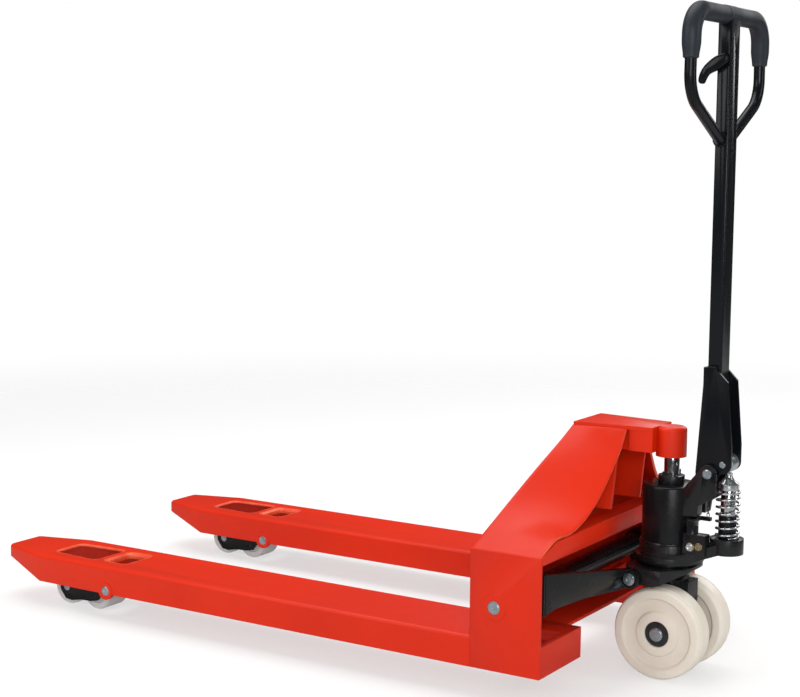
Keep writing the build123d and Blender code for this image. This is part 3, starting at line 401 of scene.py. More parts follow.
def loft(rings, close=True):
    """Vertices and faces of a skin over equal rings, in order."""
    count = len(rings[0])
    vertices = [vertex for ring in rings for vertex in ring]
    faces = []
    for row in range(len(rings) - 1):
        for column in range(count if close else count - 1):
            following = (column + 1) % count
            faces.append((
                row * count + column, row * count + following,
                (row + 1) * count + following, (row + 1) * count + column,
            ))
    return vertices, faces


def capped(rings):
    """Closed skin over equal rings, with a face across each end."""
    vertices, faces = loft(rings)
    count = len(rings[0])
    faces.append(tuple(range(count)))
    faces.append(tuple(range((len(rings) - 1) * count, len(rings) * count)))
    return vertices, faces


def recalculated(piece, weld_gap=1e-6):
    """Faces of a closed or one-sided skin turned to point outwards."""
    edit = bmesh.new()
    edit.from_mesh(piece.data)
    bmesh.ops.remove_doubles(edit, verts=edit.verts, dist=weld_gap)
    bmesh.ops.recalc_face_normals(edit, faces=edit.faces)
    edit.to_mesh(piece.data)
    edit.free()


# from the tip: start, end, width at each; then the lip's reach, depth and straight skirt. The
# lip over the rollers is shallow, because they come up through their window when lowered.
fork_windows = [
    (0.128, 0.250, 0.082, 0.098, 0.0030, 0.0040, 0.0004),
    (0.262, 0.327, 0.084, 0.092, 0.0085, 0.0075, 0.0040),
]
window_corner = 0.016
for side_name in ("left", "right"):
    fork = side_name + "_fork"
    finish_like(fork, "fork_frame", "frame_paint", fork_bend, red_paint, 3, red_painted_highlight, 24)
    low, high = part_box(fork)
    middle = (low[1] + high[1]) / 2
    for number, (start, end, start_width, end_width, reach, depth, skirt) in enumerate(fork_windows):
        corners = [
            (low[0] + start, middle - start_width / 2),
            (low[0] + end, middle - end_width / 2),
            (low[0] + end, middle + end_width / 2),
            (low[0] + start, middle + start_width / 2),
        ]
        lip_rings = window_rim(slab_outline(corners, window_corner), high[2], reach, depth, skirt)
        lip = add_mesh(f"{fork}_window_lip_{number + 1}", *loft(lip_rings))
        recalculated(lip)
        thick = lip.modifiers.new("wall", "SOLIDIFY")
        thick.thickness = 0.0016
        thick.offset = -1
        lip = baked(lip.name, lip)
        shade(lip, 50)
        # The whole lip takes the lighter red, a painted highlight round the window's curled rim.
        put_on(lip, "fork_frame", "frame_paint", red_painted_highlight)

# ---- heels, tower and head ----------------------------------------------------------
# Pressed and welded red plates: the heel boxes, the leaning front plate, the slanted
# flanges, the angle across the back, and the head with its cast nose over the ram.
plate_bend = 0.0016
head_bend = 0.0045
# The rounded plate edges take the lighter red, a painted highlight.
for node in ("left_heel", "right_heel", "front_plate", "rear_band", "cross_plate", "tower_ribs"):
    finish_like(node, "fork_frame", "frame_paint", plate_bend, red_paint, 2, red_painted_highlight)
heel_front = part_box("left_heel")[0][0]
flange_front_edge = [
    (0.3425, 0.266), (0.300, 0.293), (0.235, 0.336), (0.165, 0.381), (0.095, 0.424), (0.058, 0.4495),
]
flange_rear_edge = [
    (0.3425, 0.266), (0.288, 0.2905), (0.213, 0.292), (0.137, 0.328), (0.067, 0.409), (0.052, 0.4495),
]
flange_front_lean = 0.053 / (0.455 - 0.266)
flange_rear_lean = 0.117
flange_rear_x = 0.135
flange_plate = 0.006
heel_wall = 0.006
flange_rows = 18


def smooth_run(points, parts=8, closed=False):
    """Catmull-Rom curve through the points of an edge or of a closed outline."""
    run = []
    count = len(points)
    for index in range(count if closed else count - 1):
        around = [index + shift for shift in (-1, 0, 1, 2)]
        kept = [i % count if closed else min(max(i, 0), count - 1) for i in around]
        a, b, c, d = (Vector(points[i]) for i in kept)
        for part in range(parts):
            t = part / parts
            run.append(0.5 * ((2 * b) + (c - a) * t + (2 * a - 5 * b + 4 * c - d) * t * t
                              + (3 * b - a - 3 * c + d) * t * t * t))
    return run if closed else run + [Vector(points[-1])]


for side_name, side in (("left", -1), ("right", 1)):
    front_run = smooth_run(flange_front_edge)
    rear_run = smooth_run(flange_rear_edge)
    rows = []
    for row in range(flange_rows + 1):
        share = row / flange_rows
        line = []
        for near, far in zip(front_run, rear_run):
            front_place = Vector((flange_front_lean * (near.y - 0.266), near.x, near.y))
            rear_place = Vector((flange_rear_x + flange_rear_lean * (far.y - 0.266), far.x, far.y))
            place = front_place.lerp(rear_place, share)
            line.append((heel_front + place.x, side * place.y, place.z + 0.0003))
        rows.append(line)
    flange = add_mesh(side_name + "_side_flange_pressing", *loft(rows, close=False))
    edit = bmesh.new()
    edit.from_mesh(flange.data)
    bmesh.ops.recalc_face_normals(edit, faces=edit.faces)
    if sum(face.normal.z for face in edit.faces) < 0:
        bmesh.ops.reverse_faces(edit, faces=edit.faces)
    edit.to_mesh(flange.data)
    edit.free()
    flange.data.shade_smooth()
    flange.data.materials.append(red_paint)
    flange.data.materials.append(red_painted_highlight)
    wall = flange.modifiers.new("plate", "SOLIDIFY")
    wall.thickness = flange_plate
    wall.offset = -1
    # The cut rim of the flange takes the lighter red, a painted highlight.
    wall.material_offset_rim = 1
    fold = flange.modifiers.new("round_edges", "BEVEL")
    fold.limit_method = "ANGLE"
    fold.angle_limit = math.radians(50)
    fold.width = plate_bend
    fold.segments = 2
    flange = baked(flange.name, flange)
    shade(flange, 40)
    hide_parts(side_name + "_side_flange")
    put_on(flange, "fork_frame", "frame_paint")
finish_like("lift_head", "fork_frame", "frame_paint", head_bend, red_paint, 4, red_painted_highlight)

fold_low, fold_high, fold_half = 0.430, 0.4495, 0.056
fold_rows = []
for height in (fold_low, fold_high):
    x = heel_front + 0.0002 + flange_front_lean * (height - 0.266)
    fold_rows.append([(x, -fold_half, height), (x, fold_half, height),
                      (x + heel_wall, fold_half, height), (x + heel_wall, -fold_half, height)])
top_fold = add_mesh("front_plate_top_fold", *capped(fold_rows))
recalculated(top_fold)
put_on(top_fold, "fork_frame", "frame_paint", red_paint)

# ---- link pins, heel pins and bolts -------------------------------------------------
# Bright zinc-plated turned pins, driven in flush with their bosses. Each end is
# chamfered, with the small centre mark that the lathe leaves.
zinc_colour = (0.50, 0.57, 0.60)
zinc_deep = (0.36, 0.42, 0.46)
zinc = finish("zinc_plate", zinc_colour, zinc_deep, 60, (0.22, 0.40), 900, 0.05, metal=0.9)
lathe_turns = 48


def turned(name, profile, centre, axis="Y", turns=lathe_turns):
    """Solid of revolution: profile is (radius, place along the axis), from one end to the other."""
    rings = []
    for radius, along in profile:
        ring = []
        for step in range(turns):
            angle = step * math.tau / turns
            flat = (max(radius, 1e-5) * math.cos(angle), max(radius, 1e-5) * math.sin(angle))
            if axis == "Y":
                ring.append((centre[0] + flat[0], centre[1] + along, centre[2] + flat[1]))
            elif axis == "Z":
                ring.append((centre[0] + flat[0], centre[1] + flat[1], centre[2] + along))
            else:
                ring.append((centre[0] + along, centre[1] + flat[0], centre[2] + flat[1]))
        rings.append(ring)
    vertices, faces = loft(rings)
    if profile[0][0] == 0:
        faces.append(tuple(range(turns)))
    if profile[-1][0] == 0:
        faces.append(tuple(range((len(profile) - 1) * turns, len(profile) * turns)))
    piece = add_mesh(name, vertices, faces)
    recalculated(piece, 3e-5)
    shade(piece, 30)
    return piece


def pin_end_profile(radius, outward, proud=0.0009):
    """Chamfered disc with a centre mark, standing a little proud along +-Y."""
    points = [(0, -0.003), (radius, -0.003), (radius, 0), (radius - 0.0012, proud),
              (0.0022, proud), (0.0012, proud - 0.0010), (0, proud - 0.0016)]
    return [(r, outward * y) for r, y in points]


def middle_of(node):
    low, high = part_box(node)
    return Vector(low) * 0.5 + Vector(high) * 0.5


def pin_ends(node, body, radius, places):
    """One chamfered end for each place where the pin shows."""
    for number, (x, y, z, outward) in enumerate(places):
        end = turned(f"{node}_end_{number + 1}", pin_end_profile(radius, outward), (x, y, z))
        put_on(end, body, "zinc_steel", zinc)


for node, body in (
    ("fork_axle_pins", "fork_frame"), ("heel_pins", "lift_arms"), ("crank_pins", "lift_arms"),
    ("arm_bolts", "carrier"), ("pivot_bolt", "pump"), ("roller_pin", "handle"), ("steer_axle", "pump"),
    ("left_roller_axles", "left_bogie"), ("right_roller_axles", "right_bogie"),
):
    finish_like(node, body, "zinc_steel", 0.0007, zinc, 2)

fork_low, fork_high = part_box("left_fork")
pins_low, pins_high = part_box("fork_axle_pins")
pin_x = (pins_low[0] + pins_high[0]) / 2
pin_z = (pins_low[2] + pins_high[2]) / 2
pin_ends("fork_axle_pins", "fork_frame", 0.0085, [
    (pin_x, pins_low[1], pin_z, -1), (pin_x, pins_high[1], pin_z, 1)])
heel_low, heel_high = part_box("heel_pins")
heel_pin = ((heel_low[0] + heel_high[0]) / 2, (heel_low[2] + heel_high[2]) / 2)
pin_ends("heel_pins", "lift_arms", 0.0105, [
    (heel_pin[0], heel_low[1], heel_pin[1], -1), (heel_pin[0], heel_high[1], heel_pin[1], 1)])


def round_ring(radius, centre, along, turns=48):
    return [(centre[0] + radius * math.cos(t * math.tau / turns), centre[1] + along,
             centre[2] + radius * math.sin(t * math.tau / turns)) for t in range(turns)]


def hex_ring(flat, centre, along, turns=48):
    """Ring round a hexagon, flat being half its width across flats."""
    ring = []
    for t in range(turns):
        angle = t * math.tau / turns
        radius = flat / math.cos((angle % (math.pi / 3)) - math.pi / 6)
        x = centre[0] + radius * math.cos(angle)
        ring.append((x, centre[1] + along, centre[2] + radius * math.sin(angle)))
    return ring


def screw_head(name, rings, crease):
    """Closed head over rings, shaded with its edges kept crisp."""
    piece = add_mesh(name, *capped(rings))
    recalculated(piece)
    shade(piece, crease)
    return piece


def hex_socket_head(name, radius, height, centre, outward, socket):
    """Round bolt head with a chamfer and a hexagonal socket."""
    steps = [(radius, 0), (radius, height - 0.0012), (radius - 0.0012, height), (socket * 1.15, height)]
    rings = [round_ring(r, centre, outward * along) for r, along in steps]
    flat = socket * math.cos(math.pi / 6)
    rings += [hex_ring(flat, centre, outward * depth) for depth in (height, height * 0.35)]
    return screw_head(name, rings, 30)


pivot_low, pivot_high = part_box("pivot_bolt")
pivot = ((pivot_low[0] + pivot_high[0]) / 2, (pivot_low[2] + pivot_high[2]) / 2)
bolt_low, bolt_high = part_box("arm_bolts")
arm_bolt = ((bolt_low[0] + bolt_high[0]) / 2, (bolt_low[2] + bolt_high[2]) / 2)
roll_low, roll_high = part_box("roller_pin")
press = ((roll_low[0] + roll_high[0]) / 2, (roll_low[2] + roll_high[2]) / 2)
head_seat = 0.0004
for label, outward in (("near", -1), ("far", 1)):
    y = pivot_low[1] if outward < 0 else pivot_high[1]
    place = (pivot[0], y - outward * head_seat, pivot[1])
    head = hex_socket_head(f"pivot_bolt_socket_{label}", 0.0078, 0.0016, place, outward, 0.0040)
    put_on(head, "pump", "zinc_steel", zinc)
    y = bolt_low[1] if outward < 0 else bolt_high[1]
    place = (arm_bolt[0], y - outward * head_seat, arm_bolt[1])
    head = hex_socket_head(f"arm_bolt_socket_{label}", 0.0072, 0.0016, place, outward, 0.0036)
    put_on(head, "carrier", "zinc_steel", zinc)
    y = roll_low[1] if outward < 0 else roll_high[1]
    pin_ends(f"roller_pin_{label}", "handle", 0.0056, [(press[0], y - outward * 0.0003, press[1], outward)])

# ---- lift arms and torsion tube -----------------------------------------------------
# Black-painted flat-bar arms welded to a tube across the heels. Weld beads show where
# the arms meet the tube.
black_colour = (0.0045, 0.005, 0.006)
black_deep = (0.009, 0.009, 0.010)
black_paint = finish("black_gloss_paint", black_colour, black_deep, 9, (0.18, 0.34), 520, 0.08, specular=0.26)
# Lighter black for the rounded edges of black parts: a painted highlight.
black_painted_highlight = finish("black_paint_painted_edge_highlight", (0.022, 0.023, 0.026), black_colour, 60, (0.26, 0.40), 520, 0.08,
                    specular=0.5)
# The arms' and tube's rounded edges take the lighter black, a painted highlight.
for node in ("torsion_tube", "left_arm", "right_arm"):
    finish_like(node, "lift_arms", "black_paint", 0.0018, black_paint, 2, black_painted_highlight)
for side_name in ("left", "right"):
    finish_like(side_name + "_push_rod", side_name + "_push_rod", "black_paint", 0.0008, black_paint, 2)


def growth_tree(name, floats, seed=None):
    """New geometry node tree with a path, named sizes and a finish; returns it with a node maker."""
    tree = bpy.data.node_groups.new(name, "GeometryNodeTree")
    face = tree.interface
    face.new_socket("Path", in_out="INPUT", socket_type="NodeSocketGeometry")
    for label, value in floats:
        face.new_socket(label, in_out="INPUT", socket_type="NodeSocketFloat").default_value = value
    if seed is not None:
        face.new_socket("Seed", in_out="INPUT", socket_type="NodeSocketInt").default_value = seed
    face.new_socket("Finish", in_out="INPUT", socket_type="NodeSocketMaterial")
    face.new_socket("Grown", in_out="OUTPUT", socket_type="NodeSocketGeometry")

    return tree, *node_maker(tree)


def close_tree(node, join, start, place):
    """Realizes the instances, shades them smooth and gives them their finish."""
    real = node("GeometryNodeRealizeInstances")
    smooth = node("GeometryNodeSetShadeSmooth")
    paint = node("GeometryNodeSetMaterial")
    join(
        (place, "Instances", real, "Geometry"), (real, "Geometry", smooth, "Geometry"),
        (smooth, "Geometry", paint, "Geometry"), (start, "Finish", paint, "Material"),
        (paint, "Geometry", node("NodeGroupOutput"), "Grown"),
    )


def weld_tree():
    """Geometry nodes: overlapping beads of uneven size along a path, as a welder leaves them."""
    sizes = (("Bead radius", 0.003), ("Pitch", 0.0028), ("Unevenness", 0.16))
    tree, node, join = growth_tree("weld_bead", sizes, 3)
    start = node("NodeGroupInput")
    curve = node("GeometryNodeMeshToCurve")
    points = node("GeometryNodeCurveToPoints", mode="LENGTH")
    bead = node("GeometryNodeMeshIcoSphere", Subdivisions=2)
    place = node("GeometryNodeInstanceOnPoints")
    spread = node("FunctionNodeRandomValue", data_type="FLOAT")
    least = node("ShaderNodeMath", operation="SUBTRACT")
    least.inputs[0].default_value = 1
    most = node("ShaderNodeMath", operation="ADD")
    most.inputs[0].default_value = 1
    join(
        (start, "Path", curve, "Mesh"), (curve, "Curve", points, "Curve"), (start, "Pitch", points, "Length"),
        (points, "Points", place, "Points"), (start, "Bead radius", bead, "Radius"),
        (bead, "Mesh", place, "Instance"),
        (start, "Unevenness", least, 1), (start, "Unevenness", most, 1), (least, "Value", spread, 2),
        (most, "Value", spread, 3), (start, "Seed", spread, "Seed"), (spread, 1, place, "Scale"),
    )
    close_tree(node, join, start, place)
    return tree


weld_nodes = weld_tree()


def socket_named(tree, label):
    """Identifier of a node tree's input socket."""
    for item in tree.interface.items_tree:
        if item.item_type == "SOCKET" and item.in_out == "INPUT" and item.name == label:
            return item.identifier


def grown(name, path_object, tree, values):
    """Plain mesh from a geometry node tree on a path, with the modifier taken off."""
    growth = path_object.modifiers.new("growth", "NODES")
    growth.node_group = tree
    for label, value in values.items():
        growth[socket_named(tree, label)] = value
    return baked(name, path_object)


def path_mesh(name, runs):
    """Edges along one or more runs of points."""
    vertices = []
    edges = []
    for run in runs:
        first = len(vertices)
        vertices += [tuple(point) for point in run]
        edges += [(first + index, first + index + 1) for index in range(len(run) - 1)]
    mesh = bpy.data.meshes.new(name)
    mesh.from_pydata(vertices, edges, [])
    made = bpy.data.objects.new(name, mesh)
    bpy.context.scene.collection.objects.link(made)
    return made


def weld(name, body, finish_material, runs, radius=0.0026, seed=3):
    piece = grown(name, path_mesh(name + "_path", runs), weld_nodes, {
        "Bead radius": radius, "Pitch": radius * 0.85, "Unevenness": 0.16, "Seed": seed,
        "Finish": finish_material,
    })
    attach(piece, body)
    return piece


def ring_run(centre, radius, start=0.0, end=360.0, axis="Y", steps=48):
    """Points round a circle across an axis, between two angles in degrees."""
    run = []
    for step in range(steps + 1):
        angle = math.radians(start + (end - start) * step / steps)
        flat = (radius * math.cos(angle), radius * math.sin(angle))
        if axis == "Y":
            run.append((centre[0] + flat[0], centre[1], centre[2] + flat[1]))
        else:
            run.append((centre[0] + flat[0], centre[1] + flat[1], centre[2]))
    return run


tube_low, tube_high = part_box("torsion_tube")
torsion = (heel_pin[0], heel_pin[1])
arm_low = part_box("left_arm")[0]
weld("arm_welds", "lift_arms", black_paint, [
    ring_run((torsion[0], arm_low[1] + 0.0125, torsion[1]), 0.0215),
    ring_run((torsion[0], -arm_low[1] - 0.0125, torsion[1]), 0.0215),
], 0.0024, 5)
front_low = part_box("front_plate")[0]
frame_seams = []
for side in (-1, 1):
    edge_y = side * 0.3425
    inner_y = side * 0.1825
    frame_seams.append([(front_low[0] - 0.0006, edge_y - side * 0.012, fork_high[2] + 0.0002),
                        (front_low[0] - 0.0006, inner_y + side * 0.012, fork_high[2] + 0.0002)])
weld("fork_welds", "fork_frame", red_paint, frame_seams, 0.0026, 7)

# ---- steering carrier and yoke ------------------------------------------------------
# Black castings: the carrier plate that the arms are bolted to, the ball race on it,
# and the forged yoke that turns in it and holds the wheel axle.
casting_colour = (0.005, 0.0055, 0.0065)
casting_deep = (0.012, 0.0125, 0.014)
casting = finish("black_painted_casting", casting_colour, casting_deep, 26, (0.14, 0.40), 260, 0.28,
                 specular=0.4)
# The castings' rounded edges take the lighter black, a painted highlight.
finish_like("steer_carrier", "carrier", "black_paint", 0.0026, casting, 3, black_painted_highlight)
finish_like("thrust_bearing", "carrier", "zinc_steel", 0.0008, casting, 2)
finish_like("steer_yoke", "pump", "black_paint", 0.0020, casting, 2, black_painted_highlight)

# ---- steering wheels ----------------------------------------------------------------
# Two solid wheels moulded in cream nylon: a crowned tread with a shoulder band at each
# edge, a rim, a dished face and a raised hub round the sealed ball bearing.
nylon_colour = (0.84, 0.77, 0.67)
nylon_deep = (0.74, 0.68, 0.58)
cream_nylon = finish("cream_nylon", nylon_colour, nylon_deep, 14, (0.34, 0.5), 340, 0.10)
cream_shader = cream_nylon.node_tree.nodes["Principled BSDF"]
cream_shader.inputs["Subsurface Weight"].default_value = 0.12
cream_shader.inputs["Subsurface Radius"].default_value = (0.006, 0.004, 0.0025)
cream_shader.inputs["Subsurface Scale"].default_value = 0.6
rubber_seal = finish("bearing_seal", (0.012, 0.012, 0.013), (0.03, 0.03, 0.032), 80, (0.45, 0.6), 900, 0.1)
wheel_turns = 120
bore = 0.0185


def wheel_side(half, radius):
    """Outer half of the wheel's section, from the bore out to the tread's middle."""
    return [
        (bore, half - 0.0065),
        (0.0232, half - 0.0065),
        (0.0236, half - 0.0025),
        (0.0250, half - 0.0012),
        (0.0365, half - 0.0012),
        (0.0392, half - 0.0022),
        (0.0408, half - 0.0050),
        (0.0425, half - 0.0075),
        (0.0600, half - 0.0075),
        (0.0625, half - 0.0068),
        (0.0642, half - 0.0040),
        (0.0655, half - 0.0012),
        (0.0672, half),
        (0.0770, half),
        (0.0800, half - 0.0008),
        (0.0822, half - 0.0030),
        (radius - 0.0016, half - 0.0055),
        (radius - 0.0010, half - 0.0095),
        (radius - 0.0022, half - 0.0102),
        (radius - 0.0020, half - 0.0112),
        (radius - 0.0004, half - 0.0125),
        (radius, half - 0.018),
    ]


for side_name, side in (("left", -1), ("right", 1)):
    node = side_name + "_steer_wheel"
    low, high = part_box(node)
    radius = (high[2] - low[2]) / 2
    radius = max(radius, (high[0] - low[0]) / 2)
    half = (high[1] - low[1]) / 2
    section = wheel_side(half, radius)
    section = section + [(r, -y) for r, y in reversed(section)] + [section[0]]
    wheel = turned(node + "_moulding", section, middle_of(node), turns=wheel_turns)
    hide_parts(node)
    put_on(wheel, node, "cream_nylon", cream_nylon)

finish_like("steer_bearings", "pump", "bearing_seal", 0.0006, rubber_seal, 2)
axle_low, axle_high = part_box("steer_axle")
axle = ((axle_low[0] + axle_high[0]) / 2, (axle_low[2] + axle_high[2]) / 2)
for label, outward, y in (("near", -1, axle_low[1]), ("far", 1, axle_high[1])):
    ring = [(0.0128, -0.0055), (0.0168, -0.0055), (0.0172, -0.0048), (0.0128, -0.0048), (0.0128, -0.0055)]
    retainer = turned(f"axle_retainer_{label}", [(r, outward * a) for r, a in ring], (axle[0], y, axle[1]))
    put_on(retainer, "pump", "bearing_seal", rubber_seal)
    pin_ends(f"steer_axle_{label}", "pump", 0.0112, [(axle[0], y - outward * 0.0002, axle[1], outward)])

# ---- load rollers -------------------------------------------------------------------
# Tandem grey-white nylon rollers on steel axles, between black rocking cheeks. The
# wheel forks hang on the link pins and swing the whole set down as the truck lifts.
roller_nylon = finish("roller_nylon", (0.62, 0.63, 0.62), (0.50, 0.50, 0.49), 30, (0.38, 0.55), 340, 0.12)
for side_name in ("left", "right"):
    for node, width in ((side_name + "_wheel_fork", 0.0010), (side_name + "_bogie", 0.0012)):
        # The rounded edges of forks and bogies take the lighter black, a painted highlight.
        finish_like(node, node, "black_paint", width, black_paint, 2, black_painted_highlight)
    for end_name in ("front", "rear"):
        node = f"{side_name}_{end_name}_roller"
        low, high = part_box(node)
        radius = (high[0] - low[0]) / 2
        half = (high[1] - low[1]) / 2
        section = [
            (0.0083, half - 0.0010), (0.0150, half - 0.0010), (0.0162, half - 0.0022), (0.0230, half - 0.0022),
            (0.0245, half), (radius - 0.0035, half), (radius - 0.0012, half - 0.0010), (radius, half - 0.0036),
            (radius, 0),
        ]
        section = section + [(r, -y) for r, y in reversed(section[:-1])] + [section[0]]
        roller = turned(node + "_moulding", section, middle_of(node), turns=72)
        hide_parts(node)
        put_on(roller, node, "roller_nylon", roller_nylon)

# ---- pump ---------------------------------------------------------------------------
# Cast foot with the plunger's seat, machined cylinder with its gland, and the bracket
# with two ears that carries the handle. Painted gloss black after assembly.
# The rounded edges of the pump castings take the lighter black, a painted highlight.
finish_like("pump_base", "pump", "black_paint", 0.0024, casting, 3, black_painted_highlight)
finish_like("ram_gland", "pump", "black_paint", 0.0014, casting, 2, black_painted_highlight)
finish_like("handle_lugs", "pump", "black_paint", 0.0024, casting, 3, black_painted_highlight)
finish_like("plunger_barrel", "pump", "black_paint", 0.0010, black_paint, 2)
finish_like("valve_block", "pump", "black_paint", 0.0018, casting, 3, black_painted_highlight)
finish_like("release_lever", "release_lever", "black_paint", 0.0010, black_paint, 2, black_painted_highlight)
base_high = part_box("pump_base")[1]
cylinder_low, cylinder_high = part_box("pump_cylinder")
pump_axis = ((cylinder_low[0] + cylinder_high[0]) / 2, 0.0)
cylinder_radius = (cylinder_high[0] - cylinder_low[0]) / 2
cylinder_height = cylinder_high[2] - cylinder_low[2]
cylinder_profile = [
    (0, 0), (cylinder_radius, 0), (cylinder_radius, cylinder_height - 0.0042),
    (cylinder_radius - 0.0006, cylinder_height - 0.0022), (cylinder_radius - 0.0022, cylinder_height - 0.0006),
    (cylinder_radius - 0.0042, cylinder_height), (0, cylinder_height),
]
cylinder = turned("pump_cylinder_turning", cylinder_profile, (*pump_axis, cylinder_low[2]), "Z", 96)
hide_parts("pump_cylinder")
put_on(cylinder, "pump", "black_paint", black_paint)
collar_profile = [
    (cylinder_radius - 0.002, 0), (cylinder_radius + 0.0022, 0), (cylinder_radius + 0.0030, 0.0012),
    (cylinder_radius + 0.0022, 0.0034), (cylinder_radius - 0.002, 0.0040), (cylinder_radius - 0.002, 0),
]
collar = turned("cylinder_seal_ring", collar_profile, (*pump_axis, cylinder_low[2]), "Z", 96)
put_on(collar, "pump", "black_paint", casting)

# ---- ram ----------------------------------------------------------------------------
# Ground and hard-chromed steel rod, polished, which stands in a socket of the head.
chrome = finish("hard_chrome", (0.62, 0.64, 0.67), (0.50, 0.52, 0.55), 40, (0.06, 0.16), 700, 0.02, metal=1.0)
finish_like("lift_ram", "ram", "chrome_rod", 0.0012, chrome, 2)

# ---- plunger, spring and cap --------------------------------------------------------
# The pump's return spring is coiled from bright wire round the barrel, with its end
# turns pressed close. A polished cap on the plunger meets the handle's pressure roller.
spring_steel = finish("bright_spring_wire", (0.74, 0.76, 0.76), (0.60, 0.62, 0.62), 90, (0.16, 0.30), 900,
                      0.05, metal=0.95)
finish_like("pump_plunger", "plunger", "black_paint", 0.0008, chrome, 2)
spring_low, spring_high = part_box("pump_spring")
cap_low, cap_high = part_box("spring_cap")
seat_top = base_high[2]
wire_radius = 0.0021
coil_radius = (spring_high[0] - spring_low[0]) / 2 - wire_radius
coil_turns = 7.6
coil_steps = 56
wire_sides = 12
spring_axis = ((cap_low[0] + cap_high[0]) / 2, 0.0)
coil_bottom = seat_top + wire_radius
coil_top = cap_low[2] - wire_radius


def coil_rise(turn):
    """Height share of the wire: flat for most of a turn at each end, even between them."""
    closed = 0.85
    free = coil_turns - 2 * closed
    low_share = 0.045
    if turn < closed:
        return low_share * turn / closed
    if turn > coil_turns - closed:
        return 1 - low_share * (coil_turns - turn) / closed
    return low_share + (1 - 2 * low_share) * (turn - closed) / free


coil_rings = []
coil_count = int(coil_turns * coil_steps)
for step in range(coil_count + 1):
    turn = coil_turns * step / coil_count
    angle = turn * math.tau - 1.1
    outward = Vector((math.cos(angle), math.sin(angle), 0))
    height = coil_bottom + (coil_top - coil_bottom) * coil_rise(turn)
    centre = Vector((spring_axis[0], spring_axis[1], height)) + outward * coil_radius
    ring = []
    for side_step in range(wire_sides):
        around = side_step * math.tau / wire_sides
        rise = Vector((0, 0, wire_radius * math.sin(around)))
        ring.append(centre + outward * wire_radius * math.cos(around) + rise)
    coil_rings.append(ring)
spring = add_mesh("pump_spring_wire", *capped(coil_rings))
recalculated(spring)
shade(spring, 50)
spring.data.materials.append(spring_steel)
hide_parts("pump_spring")
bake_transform(spring)

cap_height = cap_high[2] - cap_low[2]
cap_radius = (cap_high[0] - cap_low[0]) / 2
cap_profile = [
    (0, 0), (cap_radius - 0.0012, 0), (cap_radius, 0.0010), (cap_radius, 0.0052),
    (cap_radius - 0.0008, 0.0060), (cap_radius - 0.0008, 0.0068), (cap_radius, 0.0076),
    (cap_radius - 0.0002, 0.0110), (cap_radius - 0.0018, 0.0130), (cap_radius - 0.0060, 0.0158),
    (0.0100, 0.0192), (0.0072, 0.0225), (0.0062, 0.0262), (0.0066, cap_height - 0.0012),
    (0.0058, cap_height), (0, cap_height),
]
cap = turned("spring_cap_turning", cap_profile, (*spring_axis, cap_low[2]), "Z", 72)
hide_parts("spring_cap")
put_on(cap, "plunger", "chrome_rod", spring_steel)

# ---- valve screws, plug and chain ---------------------------------------------------
# A plated socket screw and a brass hexagon close the valves in the foot. A short chain
# climbs from the release lever into the hollow of the handle's pivot.
brass = finish("tarnished_brass", (0.42, 0.34, 0.20), (0.24, 0.19, 0.11), 120, (0.28, 0.48), 700, 0.1,
               metal=0.85)
finish_like("valve_screws", "pump", "brass_fitting", 0.0008, brass, 2)
screws_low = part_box("valve_screws")[0]
block_low, block_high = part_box("valve_block")
valve_x = (block_low[0] + block_high[0]) / 2 - 0.001
valve_face = screws_low[1]


def hexagon(name, flats, height, centre, outward, hole):
    """Chamfered hexagon with a round hole, along Y."""
    steps = [(flats, 0), (flats, height - 0.0014), (flats * 0.88, height)]
    rings = [hex_ring(flat, centre, outward * along) for flat, along in steps]
    rings += [round_ring(hole, centre, outward * along) for along in (height, height * 0.3)]
    return screw_head(name, rings, 25)


lower_screw = (valve_x - 0.004, valve_face + 0.0002, 0.248)
relief_screw = (valve_x + 0.012, valve_face + 0.0002, 0.250)
lowering = hexagon("lowering_valve_screw", 0.0062, 0.0034, lower_screw, -1, 0.0036)
put_on(lowering, "pump", "brass_fitting", spring_steel)
relief = hexagon("relief_valve_screw", 0.0054, 0.0040, relief_screw, -1, 0.0012)
put_on(relief, "pump", "brass_fitting", brass)

link_length = 0.0078
link_width = 0.0050
link_wire = 0.00075


